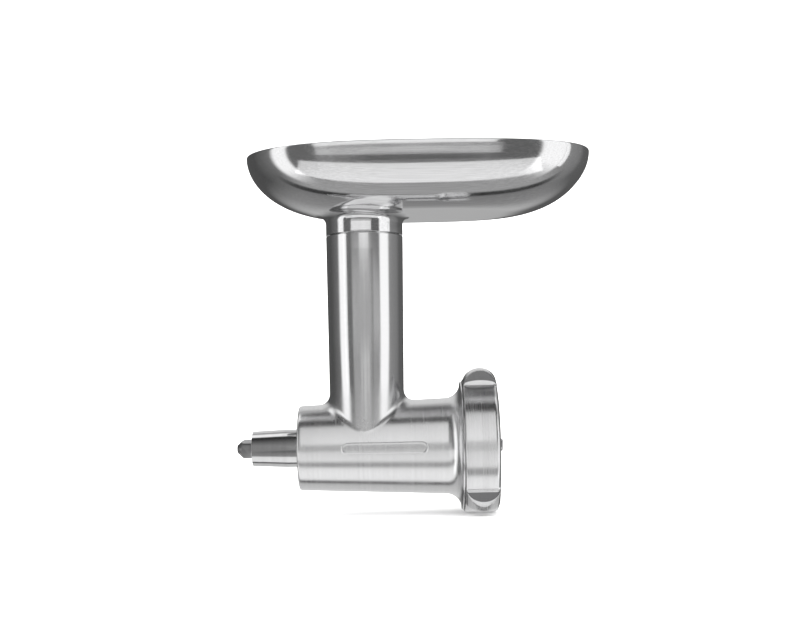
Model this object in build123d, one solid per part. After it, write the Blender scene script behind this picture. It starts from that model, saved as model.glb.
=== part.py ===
"""A food grinder that plugs into the power hub of a stand mixer.

Frame: the origin is where the hub spigot meets the rear face of the housing.
+X runs along the grinder's axis to the outlet, +Z is up the feed tube. Sizes are in millimetres.
"""
from build123d import *

import math
import os

# ---- Driving dimensions ------------------------------------------------------------------

# Cast housing: barrel, shoulder and threaded mouth, all about the X axis.
BARREL_REAR_RADIUS = 29.2
BARREL_FRONT_RADIUS = 33.1
BARREL_EDGE_ROUND = 1.6
FLARE_START = 101.0
FLARE_RADIUS = 11.0
SHOULDER_RADIUS = 44.5
SHOULDER_FACE = 112.8
REAR_WALL = 8.0
BARREL_BORE_RADIUS = 25.5
MOUTH_RADIUS = 35.2
MOUTH_START = 116.0
MOUTH_RIM = 130.5
MOUTH_TAPER = 10.0
THREAD_RADIUS = 40.0
THREAD_START = 114.5
UNDERCUT_RADIUS = 39.0
THREAD_CHAMFER = 1.0

# Feed tube, part of the same casting.
TUBE_X = 47.2
TUBE_LOW_RADIUS = 25.5
TUBE_TOP_RADIUS = 27.0
TUBE_TOP = 147.1
THROAT_RADIUS = 22.0
SOCKET_RADIUS = 24.2
SOCKET_DEPTH = 8.6
JUNCTION_FILLET = 7.0

# Blank raised pad cast on the side of the barrel.
PAD_LENGTH = 59.0
PAD_HEIGHT = 9.0
PAD_RELIEF = 0.5
PAD_CENTRE_X = 59.5

# Hub spigot and what runs in it.
SPIGOT_LENGTH = 32.5
SPIGOT_TIP_RADIUS = 12.05
SPIGOT_TIP_CHAMFER = 0.5
SPIGOT_RADIUS = 13.15
SPIGOT_LAND = 8.0
SPIGOT_SHANK_RADIUS = 11.6
DIMPLE_RADIUS = 3.2
DIMPLE_X = -19.0
SHAFT_RADIUS = 7.0
RUNNING_CLEARANCE = 0.05
BUSH_RADIUS = 9.0
BUSH_LENGTH = 11.0
BUSH_RECESS = 0.5
RELIEF_RADIUS = 8.4
SEAL_THICKNESS = 2.0
WASHER_THICKNESS = 1.6
WASHER_RADIUS = 13.0
WASHER_GAP = 0.1

# Square drive end of the shaft.
DRIVE_TIP = -43.4
DRIVE_ACROSS_FLATS = 10.8
DRIVE_START = -33.6
DRIVE_TURN = 15.0
DRIVE_POINT = 4.6
DRIVE_END_RADIUS = 2.6

# Small pins and the grub screw of the housing.
INDEX_PIN_RADIUS = 2.0
INDEX_PIN_OFFSET = 20.0
INDEX_PIN_LENGTH = 4.0
INDEX_PIN_BURIED = 6.0
INDEX_PIN_SHANK_RADIUS = 1.6
KEY_PIN_RADIUS = 1.9
KEY_PIN_START = 121.0
KEY_CLEARANCE = 0.25
SCREW_RADIUS = 2.5
SCREW_X = 4.0
SCREW_SOCKET_RADIUS = 1.4

# Worm, stud, knife and plate.
WORM_RADIUS = 24.8
WORM_CORE_RADIUS = 10.5
WORM_NOSE_RADIUS = 12.5
WORM_PITCH = 26.0
FLIGHT_ROOT_ANGLE = 78.0
FLIGHT_TIP_ANGLE = 40.0
SHAFT_FRONT = 62.0
CROSS_PIN_X = 30.0
CROSS_PIN_RADIUS = 2.0
KNIFE_REAR = 119.5
KNIFE_THICKNESS = 6.9
KNIFE_RADIUS = 32.5
KNIFE_HUB_RADIUS = 10.5
KNIFE_ARMS = 4
KNIFE_ARM_WIDTH = 9.0
KNIFE_ARM_SETBACK = 2.0
KNIFE_EDGE_WIDTH = 4.0
STUD_ACROSS_FLATS = 10.0
STUD_CLEARANCE = 0.1
STUD_SQUARE_END = 126.0
STUD_REAR = 98.0
PIN_RADIUS = 4.42
PIN_TIP = 141.4
PIN_ROUND = 1.2
PLATE_RADIUS = 35.0
PLATE_REAR = 126.5
PLATE_THICKNESS = 5.5
PLATE_HOLE_RADIUS = 2.25
PLATE_CENTRE_RADIUS = 4.5
PLATE_FIRST_CIRCLE = 10.2
PLATE_CIRCLE_STEP = 6.1
PLATE_CIRCLES = 4
PLATE_HOLE_SPACING = 6.6

# Ring nut.
RING_REAR = 113.5
RING_FRONT = 137.0
RING_RADIUS = 45.9
RING_REAR_CHAMFER = 0.8
RING_FRONT_ROUND = 3.2
RING_BORE_RADIUS = 40.15
RING_OPENING_RADIUS = 31.0
LUG_TIP_RADIUS = 55.3
LUG_BASE_RADIUS = 43.0
LUG_CREST_HALF_WIDTH = 2.6
LUG_ROOT_HALF_WIDTH = 9.2
LUG_ANGLES = (72.5, -47.5, 192.5)

# Tray: pan with its neck, and the sleeve in the neck.
PAN_CENTRE_X = 85.2
PAN_HALF_LENGTH = 119.9
PAN_HALF_WIDTH = 68.0
PAN_RIM = 202.8
PAN_DEPTH = 41.5
PAN_WALL = 1.8
PAN_NARROWING = 0.53
PAN_SQUARENESS = 2.35
PAN_SQUARENESS_FAR_END = 2.9
PAN_SECTIONS = 7
PAN_OUTLINE_POINTS = 40
NECK_FLARE = 5.6
SLEEVE_RADIUS = 24.1
SLEEVE_TAIL = 8.0


# ---- Building blocks ---------------------------------------------------------------------

def rod(start, end, radius):
    """A round bar on the X axis."""
    return extrude(Plane.YZ.offset(start) * Circle(radius), end - start)


def square_bar(start, end, across_flats):
    """A square bar on the X axis."""
    return extrude(Plane.YZ.offset(start) * Rectangle(across_flats, across_flats), end - start)


def turned(outline):
    """The solid turned about the X axis from a closed line of (x, radius)."""
    return revolve(Plane.XZ * make_face(outline), Axis.X)


def turned_points(*points):
    """The solid turned about the X axis from the corners of its half section."""
    return turned(Polyline(*points, close=True))


def upright(start, end, radius, top_radius=None):
    """A round or tapered bar on the feed tube's axis."""
    top_radius = radius if top_radius is None else top_radius
    section = Polyline((0, start), (radius, start), (top_radius, end), (0, end), close=True)
    return Pos(TUBE_X, 0, 0) * revolve(Plane.XZ * make_face(section), Axis.Z)


def barrel_radius(x):
    """Outer radius of the tapered barrel at x."""
    return BARREL_REAR_RADIUS + (BARREL_FRONT_RADIUS - BARREL_REAR_RADIUS) * x / FLARE_START


# ---- Housing -----------------------------------------------------------------------------

def barrel_solid(growth=0.0):
    """The barrel's outer shape with its flared shoulder, grown by a small relief if asked."""
    rear = BARREL_REAR_RADIUS + growth
    front = BARREL_FRONT_RADIUS + growth
    edge = (0, rear - BARREL_EDGE_ROUND)
    edge_end = (BARREL_EDGE_ROUND, barrel_radius(BARREL_EDGE_ROUND) + growth)
    flare_end = (FLARE_START + FLARE_RADIUS, front + FLARE_RADIUS)
    half_turn = math.sqrt(0.5)
    flare_middle = (FLARE_START + FLARE_RADIUS * half_turn, front + FLARE_RADIUS * (1 - half_turn))
    outline = [
        Line((0, 0), edge),
        RadiusArc(edge, edge_end, -BARREL_EDGE_ROUND),
        Line(edge_end, (FLARE_START, front)),
        ThreePointArc((FLARE_START, front), flare_middle, flare_end),
        Line(flare_end, (SHOULDER_FACE, SHOULDER_RADIUS)),
        Line((SHOULDER_FACE, SHOULDER_RADIUS), (SHOULDER_FACE, 0)),
        Line((SHOULDER_FACE, 0), (0, 0)),
    ]
    return turned(Wire(outline))


def name_pad():
    """A blank capsule standing slightly proud of the barrel's side."""
    outline = Pos(PAD_CENTRE_X, 0) * SlotOverall(PAD_LENGTH, PAD_HEIGHT)
    prism = extrude(Plane.XZ * outline, SHOULDER_RADIUS)
    return prism & barrel_solid(PAD_RELIEF)


def grinder_housing():
    """The casting: barrel, feed tube, rear wall and threaded mouth in one piece."""
    tube = upright(0, TUBE_TOP, TUBE_LOW_RADIUS, TUBE_TOP_RADIUS)
    body = barrel_solid() + tube
    junction = [
        edge for edge in body.edges()
        if edge.bounding_box().min.Z > BARREL_REAR_RADIUS / 3
        and edge.bounding_box().max.Z < TUBE_TOP / 2
        and abs(edge.center(CenterOf.BOUNDING_BOX).X - TUBE_X) < TUBE_TOP_RADIUS
    ]
    body = fillet(junction, JUNCTION_FILLET)
    body += name_pad()
    body += turned_points(
        (SHOULDER_FACE, 0),
        (SHOULDER_FACE, UNDERCUT_RADIUS),
        (THREAD_START, UNDERCUT_RADIUS),
        (THREAD_START + THREAD_CHAMFER, THREAD_RADIUS),
        (MOUTH_RIM - THREAD_CHAMFER, THREAD_RADIUS),
        (MOUTH_RIM, THREAD_RADIUS - THREAD_CHAMFER),
        (MOUTH_RIM, 0),
    )
    body -= turned_points(
        (REAR_WALL, 0),
        (REAR_WALL, BARREL_BORE_RADIUS),
        (MOUTH_START - MOUTH_TAPER, BARREL_BORE_RADIUS),
        (MOUTH_START, MOUTH_RADIUS),
        (MOUTH_RIM + 1, MOUTH_RADIUS),
        (MOUTH_RIM + 1, 0),
    )
    body -= rod(-1, REAR_WALL + 1, SPIGOT_SHANK_RADIUS)
    body -= upright(0, TUBE_TOP + 1, THROAT_RADIUS)
    body -= upright(TUBE_TOP - SOCKET_DEPTH, TUBE_TOP + 1, SOCKET_RADIUS)
    body -= index_pin()
    body -= plate_key_pin()
    body -= screw_bar(SPIGOT_SHANK_RADIUS - 1, BARREL_REAR_RADIUS + 1, SCREW_RADIUS)
    return body


def index_pin():
    """The pin on the rear face that finds the notch in the mixer's hub."""
    pin = rod(-INDEX_PIN_LENGTH, 0, INDEX_PIN_RADIUS)
    pin += rod(0, INDEX_PIN_BURIED, INDEX_PIN_SHANK_RADIUS)
    return Pos(0, INDEX_PIN_OFFSET, 0) * pin


def plate_key_pin():
    """The pin let into the bottom of the mouth that stops the grinding plate from turning."""
    return Pos(0, 0, -MOUTH_RADIUS) * rod(KEY_PIN_START, MOUTH_RIM, KEY_PIN_RADIUS)


def screw_bar(inner, outer, radius):
    """A bar pointing down from the X axis inside the rear wall."""
    plane = Plane.XY.offset(-outer)
    return extrude(plane * Pos(SCREW_X, 0) * Circle(radius), outer - inner)


def spigot_lock_screw():
    """The grub screw under the barrel that keeps the spigot from turning."""
    seat = SPIGOT_SHANK_RADIUS - 1
    head = BARREL_REAR_RADIUS - 2
    screw = screw_bar(seat, head, SCREW_RADIUS)
    socket = screw_bar(head - 2 * SCREW_RADIUS, head + 1, SCREW_SOCKET_RADIUS)
    return screw - socket


def hub_spigot():
    """The steel spigot that slides into the mixer's hub."""
    tip = -SPIGOT_LENGTH
    spigot = turned_points(
        (tip, 0),
        (tip, SPIGOT_TIP_RADIUS - SPIGOT_TIP_CHAMFER),
        (tip + SPIGOT_TIP_CHAMFER, SPIGOT_TIP_RADIUS),
        (-SPIGOT_LAND, SPIGOT_RADIUS),
        (0, SPIGOT_RADIUS),
        (0, SPIGOT_SHANK_RADIUS),
        (REAR_WALL, SPIGOT_SHANK_RADIUS),
        (REAR_WALL, 0),
    )
    spigot -= rod(tip - 1, REAR_WALL + 1, RELIEF_RADIUS)
    spigot -= rod(tip - 1, tip + BUSH_RECESS + BUSH_LENGTH, BUSH_RADIUS)
    spigot -= rod(REAR_WALL - SEAL_THICKNESS - BUSH_LENGTH, REAR_WALL + 1, BUSH_RADIUS)
    dimple = Pos(DIMPLE_X, SPIGOT_RADIUS + DIMPLE_RADIUS / 2, 0) * Sphere(DIMPLE_RADIUS)
    spigot -= dimple
    spigot -= screw_bar(SPIGOT_SHANK_RADIUS - 1, SPIGOT_SHANK_RADIUS + 1, SCREW_RADIUS)
    return spigot


def bush(start):
    """A bronze sleeve for the shaft."""
    end = start + BUSH_LENGTH
    return rod(start, end, BUSH_RADIUS) - rod(start - 1, end + 1, SHAFT_RADIUS + RUNNING_CLEARANCE)


def spigot_rear_bush():
    """The sleeve at the spigot's tip."""
    return bush(BUSH_RECESS - SPIGOT_LENGTH)


def spigot_front_bush():
    """The sleeve at the spigot's inner end."""
    return bush(REAR_WALL - SEAL_THICKNESS - BUSH_LENGTH)


def shaft_seal():
    """The rubber ring that keeps food out of the spigot."""
    start = REAR_WALL - SEAL_THICKNESS
    hole = rod(start - 1, REAR_WALL + 1, SHAFT_RADIUS + RUNNING_CLEARANCE)
    return rod(start, REAR_WALL, BUSH_RADIUS) - hole


# ---- Worm --------------------------------------------------------------------------------

def worm_rear():
    """Where the worm starts, in front of its thrust washer."""
    return REAR_WALL + WASHER_GAP + WASHER_THICKNESS


def worm_shaft():
    """The steel shaft: a square drive end outside, a plain end inside the worm."""
    shaft = rod(DRIVE_START, SHAFT_FRONT, SHAFT_RADIUS)
    square = Rot(DRIVE_TURN, 0, 0) * square_bar(DRIVE_TIP, DRIVE_START, DRIVE_ACROSS_FLATS)
    point = turned_points(
        (DRIVE_TIP, 0),
        (DRIVE_TIP, DRIVE_END_RADIUS),
        (DRIVE_TIP + DRIVE_POINT, SHAFT_RADIUS),
        (DRIVE_START, SHAFT_RADIUS),
        (DRIVE_START, 0),
    )
    shaft += square & point
    return shaft - worm_cross_pin()


def worm_cross_pin():
    """The pin through worm and shaft that makes them turn together."""
    plane = Plane.XZ.offset(-WORM_CORE_RADIUS)
    return extrude(plane * Pos(CROSS_PIN_X, 0) * Circle(CROSS_PIN_RADIUS), 2 * WORM_CORE_RADIUS)


def thrust_washer():
    """The washer between the worm and the rear wall; it turns with the worm."""
    start = REAR_WALL + WASHER_GAP
    return rod(start, worm_rear(), WASHER_RADIUS) - rod(start - 1, worm_rear() + 1, SHAFT_RADIUS)


def worm_section():
    """The worm cut square to its axis: a round core with one lobe that becomes the flight."""
    root = math.radians(FLIGHT_ROOT_ANGLE / 2)
    tip = math.radians(FLIGHT_TIP_ANGLE / 2)
    inner = WORM_CORE_RADIUS
    outer = WORM_RADIUS
    root_right = (inner * math.cos(root), -inner * math.sin(root))
    root_left = (inner * math.cos(root), inner * math.sin(root))
    tip_right = (outer * math.cos(tip), -outer * math.sin(tip))
    tip_left = (outer * math.cos(tip), outer * math.sin(tip))
    outline = [
        ThreePointArc(root_left, (-inner, 0), root_right),
        Line(root_right, tip_right),
        ThreePointArc(tip_right, (outer, 0), tip_left),
        Line(tip_left, root_left),
    ]
    return make_face(Wire(outline))


def worm_screw():
    """The cast worm: the lobed section twisted along the axis into one helical flight."""
    start = worm_rear()
    flight_end = SHOULDER_FACE
    turns = (flight_end - start) / WORM_PITCH
    plane = Plane.YZ.offset(start)
    section = (plane * worm_section()).face()
    flight = Solid.extrude_linear_with_rotation(
        section, plane.origin, plane.z_dir * (flight_end - start), -360 * turns
    )
    nose = rod(flight_end, KNIFE_REAR, WORM_NOSE_RADIUS)
    worm = Part() + flight + nose
    worm -= rod(start - 1, SHAFT_FRONT, SHAFT_RADIUS)
    worm -= rod(STUD_REAR, KNIFE_REAR + 1, STUD_ACROSS_FLATS / 2)
    return worm - worm_cross_pin()


def knife_stud():
    """The stepped stud in the worm's nose: a square for the knife, a pin for the plate."""
    stud = rod(STUD_REAR, KNIFE_REAR, STUD_ACROSS_FLATS / 2)
    stud += square_bar(KNIFE_REAR, STUD_SQUARE_END, STUD_ACROSS_FLATS)
    pin = rod(STUD_SQUARE_END, PIN_TIP, PIN_RADIUS)
    pin = fillet(pin.edges().sort_by(Axis.X)[-1], PIN_ROUND)
    return stud + pin


def cross_knife():
    """The four-armed knife, its cutting edges against the plate."""
    front = KNIFE_REAR + KNIFE_THICKNESS
    knife = rod(KNIFE_REAR, front, KNIFE_HUB_RADIUS)
    wide = KNIFE_ARM_WIDTH / 2
    lean = wide - KNIFE_EDGE_WIDTH
    rear = KNIFE_REAR + KNIFE_ARM_SETBACK
    section = Polyline((rear, -wide), (front, -wide), (front, -lean), (rear, wide), close=True)
    arm = extrude(make_face(section), KNIFE_RADIUS)
    for number in range(KNIFE_ARMS):
        knife += Rot(number * 360 / KNIFE_ARMS, 0, 0) * arm
    knife &= rod(KNIFE_REAR, front, KNIFE_RADIUS)
    return knife - square_bar(KNIFE_REAR - 1, front + 1, STUD_ACROSS_FLATS + 2 * STUD_CLEARANCE)


def plate_holes():
    """The cutting holes on circles about the plate's centre."""
    holes = []
    for circle in range(PLATE_CIRCLES):
        radius = PLATE_FIRST_CIRCLE + circle * PLATE_CIRCLE_STEP
        count = int(math.tau * radius / PLATE_HOLE_SPACING)
        for number in range(count):
            angle = math.tau * number / count
            place = Pos(0, radius * math.cos(angle), radius * math.sin(angle))
            holes.append(place * rod(PLATE_REAR - 1, PLATE_REAR + PLATE_THICKNESS + 1, PLATE_HOLE_RADIUS))
    return holes


def grinding_plate():
    """The perforated plate that the knife shears against."""
    front = PLATE_REAR + PLATE_THICKNESS
    plate = rod(PLATE_REAR, front, PLATE_RADIUS)
    plate -= plate_holes()
    plate -= rod(PLATE_REAR - 1, front + 1, PLATE_CENTRE_RADIUS)
    notch = rod(PLATE_REAR - 1, front + 1, KEY_PIN_RADIUS + KEY_CLEARANCE)
    return plate - Pos(0, 0, -MOUTH_RADIUS) * notch


# ---- Ring nut ----------------------------------------------------------------------------

def ring_body():
    """The ring's plain round outside, before its lugs and bore."""
    ring = rod(RING_REAR, RING_FRONT, RING_RADIUS)
    ring = fillet(ring.edges().sort_by(Axis.X)[-1], RING_FRONT_ROUND)
    return chamfer(ring.edges().sort_by(Axis.X)[0], RING_REAR_CHAMFER)


def lug(angle):
    """One grip lug: a straight-sided wedge with a domed top."""
    middle = (RING_REAR + RING_FRONT) / 2
    dome = turned(Wire([
        Line((RING_REAR, LUG_BASE_RADIUS - 2), (RING_REAR, LUG_BASE_RADIUS)),
        ThreePointArc((RING_REAR, LUG_BASE_RADIUS), (middle, LUG_TIP_RADIUS), (RING_FRONT, LUG_BASE_RADIUS)),
        Line((RING_FRONT, LUG_BASE_RADIUS), (RING_FRONT, LUG_BASE_RADIUS - 2)),
        Line((RING_FRONT, LUG_BASE_RADIUS - 2), (RING_REAR, LUG_BASE_RADIUS - 2)),
    ]))
    low = LUG_BASE_RADIUS - 2
    high = LUG_TIP_RADIUS + 1
    outline = Polyline(
        (-LUG_ROOT_HALF_WIDTH, low),
        (LUG_ROOT_HALF_WIDTH, low),
        (LUG_CREST_HALF_WIDTH, high),
        (-LUG_CREST_HALF_WIDTH, high),
        close=True,
    )
    wedge = extrude(Plane.YZ.offset(RING_REAR) * make_face(outline), RING_FRONT - RING_REAR)
    return Rot(angle - 90, 0, 0) * (wedge & dome)


def ring_nut():
    """The ring that screws on to the mouth and holds the plate."""
    plate_front = PLATE_REAR + PLATE_THICKNESS
    ring = ring_body()
    for angle in LUG_ANGLES:
        ring += lug(180 - angle)
    ring -= rod(RING_REAR - 1, plate_front, RING_BORE_RADIUS)
    ring -= rod(plate_front - 1, RING_FRONT + 1, RING_OPENING_RADIUS)
    return ring


# ---- Tray --------------------------------------------------------------------------------

def pan_outline(half_length, half_width):
    """A rounded-rectangle outline, a little squarer at the outlet end."""
    points = []
    for number in range(PAN_OUTLINE_POINTS):
        angle = math.tau * number / PAN_OUTLINE_POINTS
        far = (1 + math.cos(angle)) / 2
        squareness = PAN_SQUARENESS + (PAN_SQUARENESS_FAR_END - PAN_SQUARENESS) * far
        along = math.copysign(abs(math.cos(angle)) ** (2 / squareness), math.cos(angle))
        across = math.copysign(abs(math.sin(angle)) ** (2 / squareness), math.sin(angle))
        points.append((half_length * along, half_width * across))
    return Wire(Spline(*points, periodic=True))


def pan_shape(wall):
    """The pan's rounded bowl, moved inwards by a wall thickness."""
    sections = []
    for number in range(PAN_SECTIONS):
        turn = math.pi / 2 * number / (PAN_SECTIONS - 1)
        size = 1 - PAN_NARROWING * (1 - math.cos(turn))
        depth = (PAN_DEPTH - wall) * math.sin(turn)
        outline = pan_outline((PAN_HALF_LENGTH - wall) * size, (PAN_HALF_WIDTH - wall) * size)
        sections.append(Pos(PAN_CENTRE_X, 0, PAN_RIM - depth) * outline)
    return Solid.make_loft(sections)


def neck_solid():
    """The flared neck's outer shape, from its seat on the feed tube up into the pan's floor."""
    floor = PAN_RIM - PAN_DEPTH
    flare_start = (TUBE_TOP_RADIUS, floor - NECK_FLARE)
    flare_end = (TUBE_TOP_RADIUS + NECK_FLARE, floor)
    half_turn = math.sqrt(0.5)
    flare_middle = (
        TUBE_TOP_RADIUS + NECK_FLARE * (1 - half_turn),
        floor - NECK_FLARE * (1 - half_turn),
    )
    top = floor + PAN_WALL / 2
    outline = [
        Line((0, TUBE_TOP), (TUBE_TOP_RADIUS, TUBE_TOP)),
        Line((TUBE_TOP_RADIUS, TUBE_TOP), flare_start),
        ThreePointArc(flare_start, flare_middle, flare_end),
        Line(flare_end, (flare_end[0], top)),
        Line((flare_end[0], top), (0, top)),
        Line((0, top), (0, TUBE_TOP)),
    ]
    return Pos(TUBE_X, 0, 0) * revolve(Plane.XZ * make_face(Wire(outline)), Axis.Z)


def tray_pan():
    """The thin-walled pan, drawn down into a flared neck under its floor."""
    floor = PAN_RIM - PAN_DEPTH
    pan = Part() + pan_shape(0) + neck_solid() - pan_shape(PAN_WALL)
    pan -= upright(TUBE_TOP - 1, floor, SLEEVE_RADIUS)
    return pan - upright(TUBE_TOP, PAN_RIM, THROAT_RADIUS)


def tray_sleeve():
    """The sleeve fixed inside the neck, whose tail drops into the feed tube."""
    floor = PAN_RIM - PAN_DEPTH
    tail = TUBE_TOP - SLEEVE_TAIL
    return upright(tail, floor, SLEEVE_RADIUS) - upright(tail - 1, floor + 1, THROAT_RADIUS)


# ---- Output ------------------------------------------------------------------------------

NODES = (
    grinder_housing,
    hub_spigot,
    spigot_rear_bush,
    spigot_front_bush,
    shaft_seal,
    spigot_lock_screw,
    index_pin,
    plate_key_pin,
    worm_screw,
    worm_shaft,
    worm_cross_pin,
    thrust_washer,
    knife_stud,
    cross_knife,
    grinding_plate,
    ring_nut,
    tray_pan,
    tray_sleeve,
)


def main():
    """Write one STEP file for each piece."""
    os.makedirs("parts", exist_ok=True)
    for make_piece in NODES:
        export_step(make_piece(), f"parts/{make_piece.__name__}.step")


if __name__ == "__main__":
    main()
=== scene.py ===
"""Food grinder attachment for a stand mixer: the visual model, laid out as an add-on and run as a script.

Everything is in metres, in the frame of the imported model: +X along the grinder to its outlet, +Z up the feed
tube. Each operator builds one piece, and the panel in the 3D view's sidebar lists them.
"""
import math

import bmesh
import bpy
from bpy.props import FloatProperty, FloatVectorProperty, IntProperty, PointerProperty
from mathutils import Euler, Matrix, Vector


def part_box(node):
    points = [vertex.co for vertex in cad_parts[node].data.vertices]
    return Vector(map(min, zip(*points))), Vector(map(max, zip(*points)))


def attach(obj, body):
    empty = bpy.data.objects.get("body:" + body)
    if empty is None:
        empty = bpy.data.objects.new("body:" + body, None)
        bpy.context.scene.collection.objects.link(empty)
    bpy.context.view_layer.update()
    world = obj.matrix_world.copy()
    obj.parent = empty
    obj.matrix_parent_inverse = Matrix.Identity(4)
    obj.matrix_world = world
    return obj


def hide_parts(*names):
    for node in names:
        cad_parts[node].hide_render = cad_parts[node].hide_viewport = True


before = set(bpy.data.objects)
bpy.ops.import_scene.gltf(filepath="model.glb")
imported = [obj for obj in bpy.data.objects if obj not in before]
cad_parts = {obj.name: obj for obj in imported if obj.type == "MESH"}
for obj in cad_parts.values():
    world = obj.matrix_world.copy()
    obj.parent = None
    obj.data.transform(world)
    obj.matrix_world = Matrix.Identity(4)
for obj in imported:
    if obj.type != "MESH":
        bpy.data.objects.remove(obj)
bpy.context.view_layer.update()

bl_info = {
    "name": "Food Grinder Attachment",
    "version": (1, 0, 0),
    "blender": (4, 5, 0),
    "location": "View3D > Sidebar > Grinder",
    "description": "Builds the pieces, finishes and studio of a food grinder attachment",
    "category": "Object",
}

TAU = math.tau

HOUSING_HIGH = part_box("grinder_housing")[1]
SPIGOT_LOW, SPIGOT_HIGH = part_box("hub_spigot")
RING_LOW, RING_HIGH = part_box("ring_nut")
PAN_LOW, PAN_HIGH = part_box("tray_pan")
SLEEVE_LOW, SLEEVE_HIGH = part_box("tray_sleeve")
PLATE_LOW, PLATE_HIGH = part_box("grinding_plate")
WORM_LOW, WORM_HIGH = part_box("worm_screw")

TUBE_X = (SLEEVE_LOW.x + SLEEVE_HIGH.x) / 2
TUBE_TOP = HOUSING_HIGH.z
PAN_X = (PAN_LOW.x + PAN_HIGH.x) / 2
SHOULDER_FACE = 0.1128
THREAD_HEIGHT = 0.0011
SHAFT_BORE = 0.0070
STUD_RADIUS = 0.0050
SPIGOT_BORE = 0.0090
SPIGOT_WAIST = 0.0084
SPIGOT_SHANK = 0.0116
SPIGOT_TIP = 0.01205
SPIGOT_LAND = -0.0080
BUSH_STOPS = (-0.0210, -0.0050)
DIMPLE_RADIUS = 0.0032
DIMPLE_X = -0.019


# ---- Sizes and finishes that a user would change ------------------------------------------

def length(label, text, value):
    """A property that holds a length in metres."""
    return FloatProperty(name=label, description=text, default=value, min=0.0, precision=5, unit="LENGTH")


def count(label, text, value, lowest=1):
    """A property that holds a whole number."""
    return IntProperty(name=label, description=text, default=value, min=lowest)


def share(label, text, value):
    """A property that holds a number from 0 to 1."""
    return FloatProperty(name=label, description=text, default=value, min=0.0, max=1.0, subtype="FACTOR")


def plain_number(label, text, value):
    """A property that holds a plain number."""
    return FloatProperty(name=label, description=text, default=value, min=0.0)


def tilt(label, text, degrees):
    """A property that holds an angle."""
    return FloatProperty(name=label, description=text, default=math.radians(degrees), subtype="ANGLE")


def colour(label, text, value):
    """A property that holds a linear colour."""
    return FloatVectorProperty(
        name=label, description=text, default=value, size=3, min=0.0, max=1.0, subtype="COLOR"
    )


class HousingSizes(bpy.types.PropertyGroup):
    """Sizes of the cast housing."""

    barrel_rear: length("Barrel rear radius", "Outer radius of the barrel at its rear face", 0.0292)
    barrel_front: length("Barrel front radius", "Outer radius of the barrel where the flare starts", 0.0331)
    barrel_bore: length("Barrel bore", "Radius of the bore that the worm turns in", 0.0255)
    edge_round: length("Rear edge", "Rounding of the barrel's rear edge", 0.0016)
    flare_start: length("Flare start", "Distance from the rear face to the start of the flare", 0.101)
    flare: length("Flare", "Radius of the flare's hollow curve", 0.011)
    shoulder: length("Shoulder radius", "Outer radius of the shoulder behind the ring nut", 0.0445)
    shoulder_face: length("Shoulder face", "Distance from the rear face to the shoulder", SHOULDER_FACE)
    tube_low: length("Tube radius, low", "Outer radius of the feed tube at the barrel's axis", 0.0255)
    tube_high: length("Tube radius, top", "Outer radius of the feed tube at its top", 0.0270)
    throat: length("Throat radius", "Radius of the hole down the feed tube", 0.0220)
    socket: length("Socket radius", "Radius of the recess that takes the tray's sleeve", 0.0242)
    socket_depth: length("Socket depth", "Depth of that recess", 0.0086)
    blend: length("Blend", "Radius of the casting's blend from the feed tube into the barrel", 0.0080)
    swell: length("Swell", "How much the feed tube widens, front and back, down to the barrel", 0.0036)
    swell_top: length("Swell top", "Height at which that widening starts", 0.085)
    wall: length("Rear wall", "Thickness of the rear wall", 0.008)
    shank: length("Spigot hole", "Radius of the hole that holds the spigot", SPIGOT_SHANK)
    mouth: length("Mouth radius", "Radius of the seat of the grinding plate", 0.0352)
    mouth_start: length("Mouth start", "Distance from the rear face to that seat", 0.116)
    mouth_taper: length("Mouth taper", "Length of the widening in front of the barrel's bore", 0.010)
    thread_root: length("Thread root", "Radius of the mouth between the turns of its thread", 0.0389)
    seam: length("Casting seam", "Height of the faint seam down the feed tube", 0.00016)
    pad_length: length("Pad length", "Length of the blank raised pad on the barrel", 0.059)
    pad_height: length("Pad height", "Height of the blank raised pad", 0.009)
    pad_relief: length("Pad relief", "How far the pad's rim stands out", 0.00050)
    pad_x: length("Pad centre", "Distance from the rear face to the middle of the pad", 0.0595)


class RingSizes(bpy.types.PropertyGroup):
    """Sizes of the ring nut."""

    radius: length("Ring radius", "Outer radius between the lugs", 0.0459)
    front_round: length("Front edge", "Rounding of the front edge", 0.0032)
    rear_round: length("Rear edge", "Rounding of the rear edge", 0.0008)
    bore: length("Bore", "Radius of the bore that runs over the mouth's thread", 0.04015)
    opening: length("Opening", "Radius of the opening at the front", 0.031)
    lip: length("Lip", "Thickness of the lip that holds the plate", 0.005)
    lug_tip: length("Lug tip", "Radius of the lugs at the top of their dome", 0.0553)
    lug_base: length("Lug base", "Radius of the dome at the ring's two faces", 0.043)
    crest: length("Lug crest", "Half width of a lug's crest", 0.0030)
    flank: plain_number("Lug flank", "How far a flank widens for each metre down", 0.43)
    blend: length("Lug blend", "Blend between a lug's flank and the ring", 0.0016)
    ease: length("Lug edge", "Rounding of a lug's edges", 0.00035)


class TraySizes(bpy.types.PropertyGroup):
    """Sizes of the feed tray."""

    wall: length("Wall", "Thickness of the sheet", 0.0018)
    depth: length("Depth", "Depth of the pan from its rim to the outside of its floor", 0.0415)
    narrowing: share("Narrowing", "How much smaller the floor is than the rim", 0.53)
    squareness: plain_number("Squareness", "Outline at the spigot end; 2 is an ellipse", 2.35)
    far_squareness: plain_number("Far squareness", "Outline at the outlet end; 2 is an ellipse", 2.9)
    neck: length("Neck radius", "Outer radius of the neck", 0.027)
    neck_bore: length("Neck bore", "Inner radius of the neck, around the sleeve", 0.0241)
    flare: length("Neck flare", "Height of the neck's flare into the pan", 0.0060)
    hole: length("Hole radius", "Radius of the hole in the pan's floor", 0.022)
    seam: length("Seam", "Gap between the neck and the feed tube", 0.0007)


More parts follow.
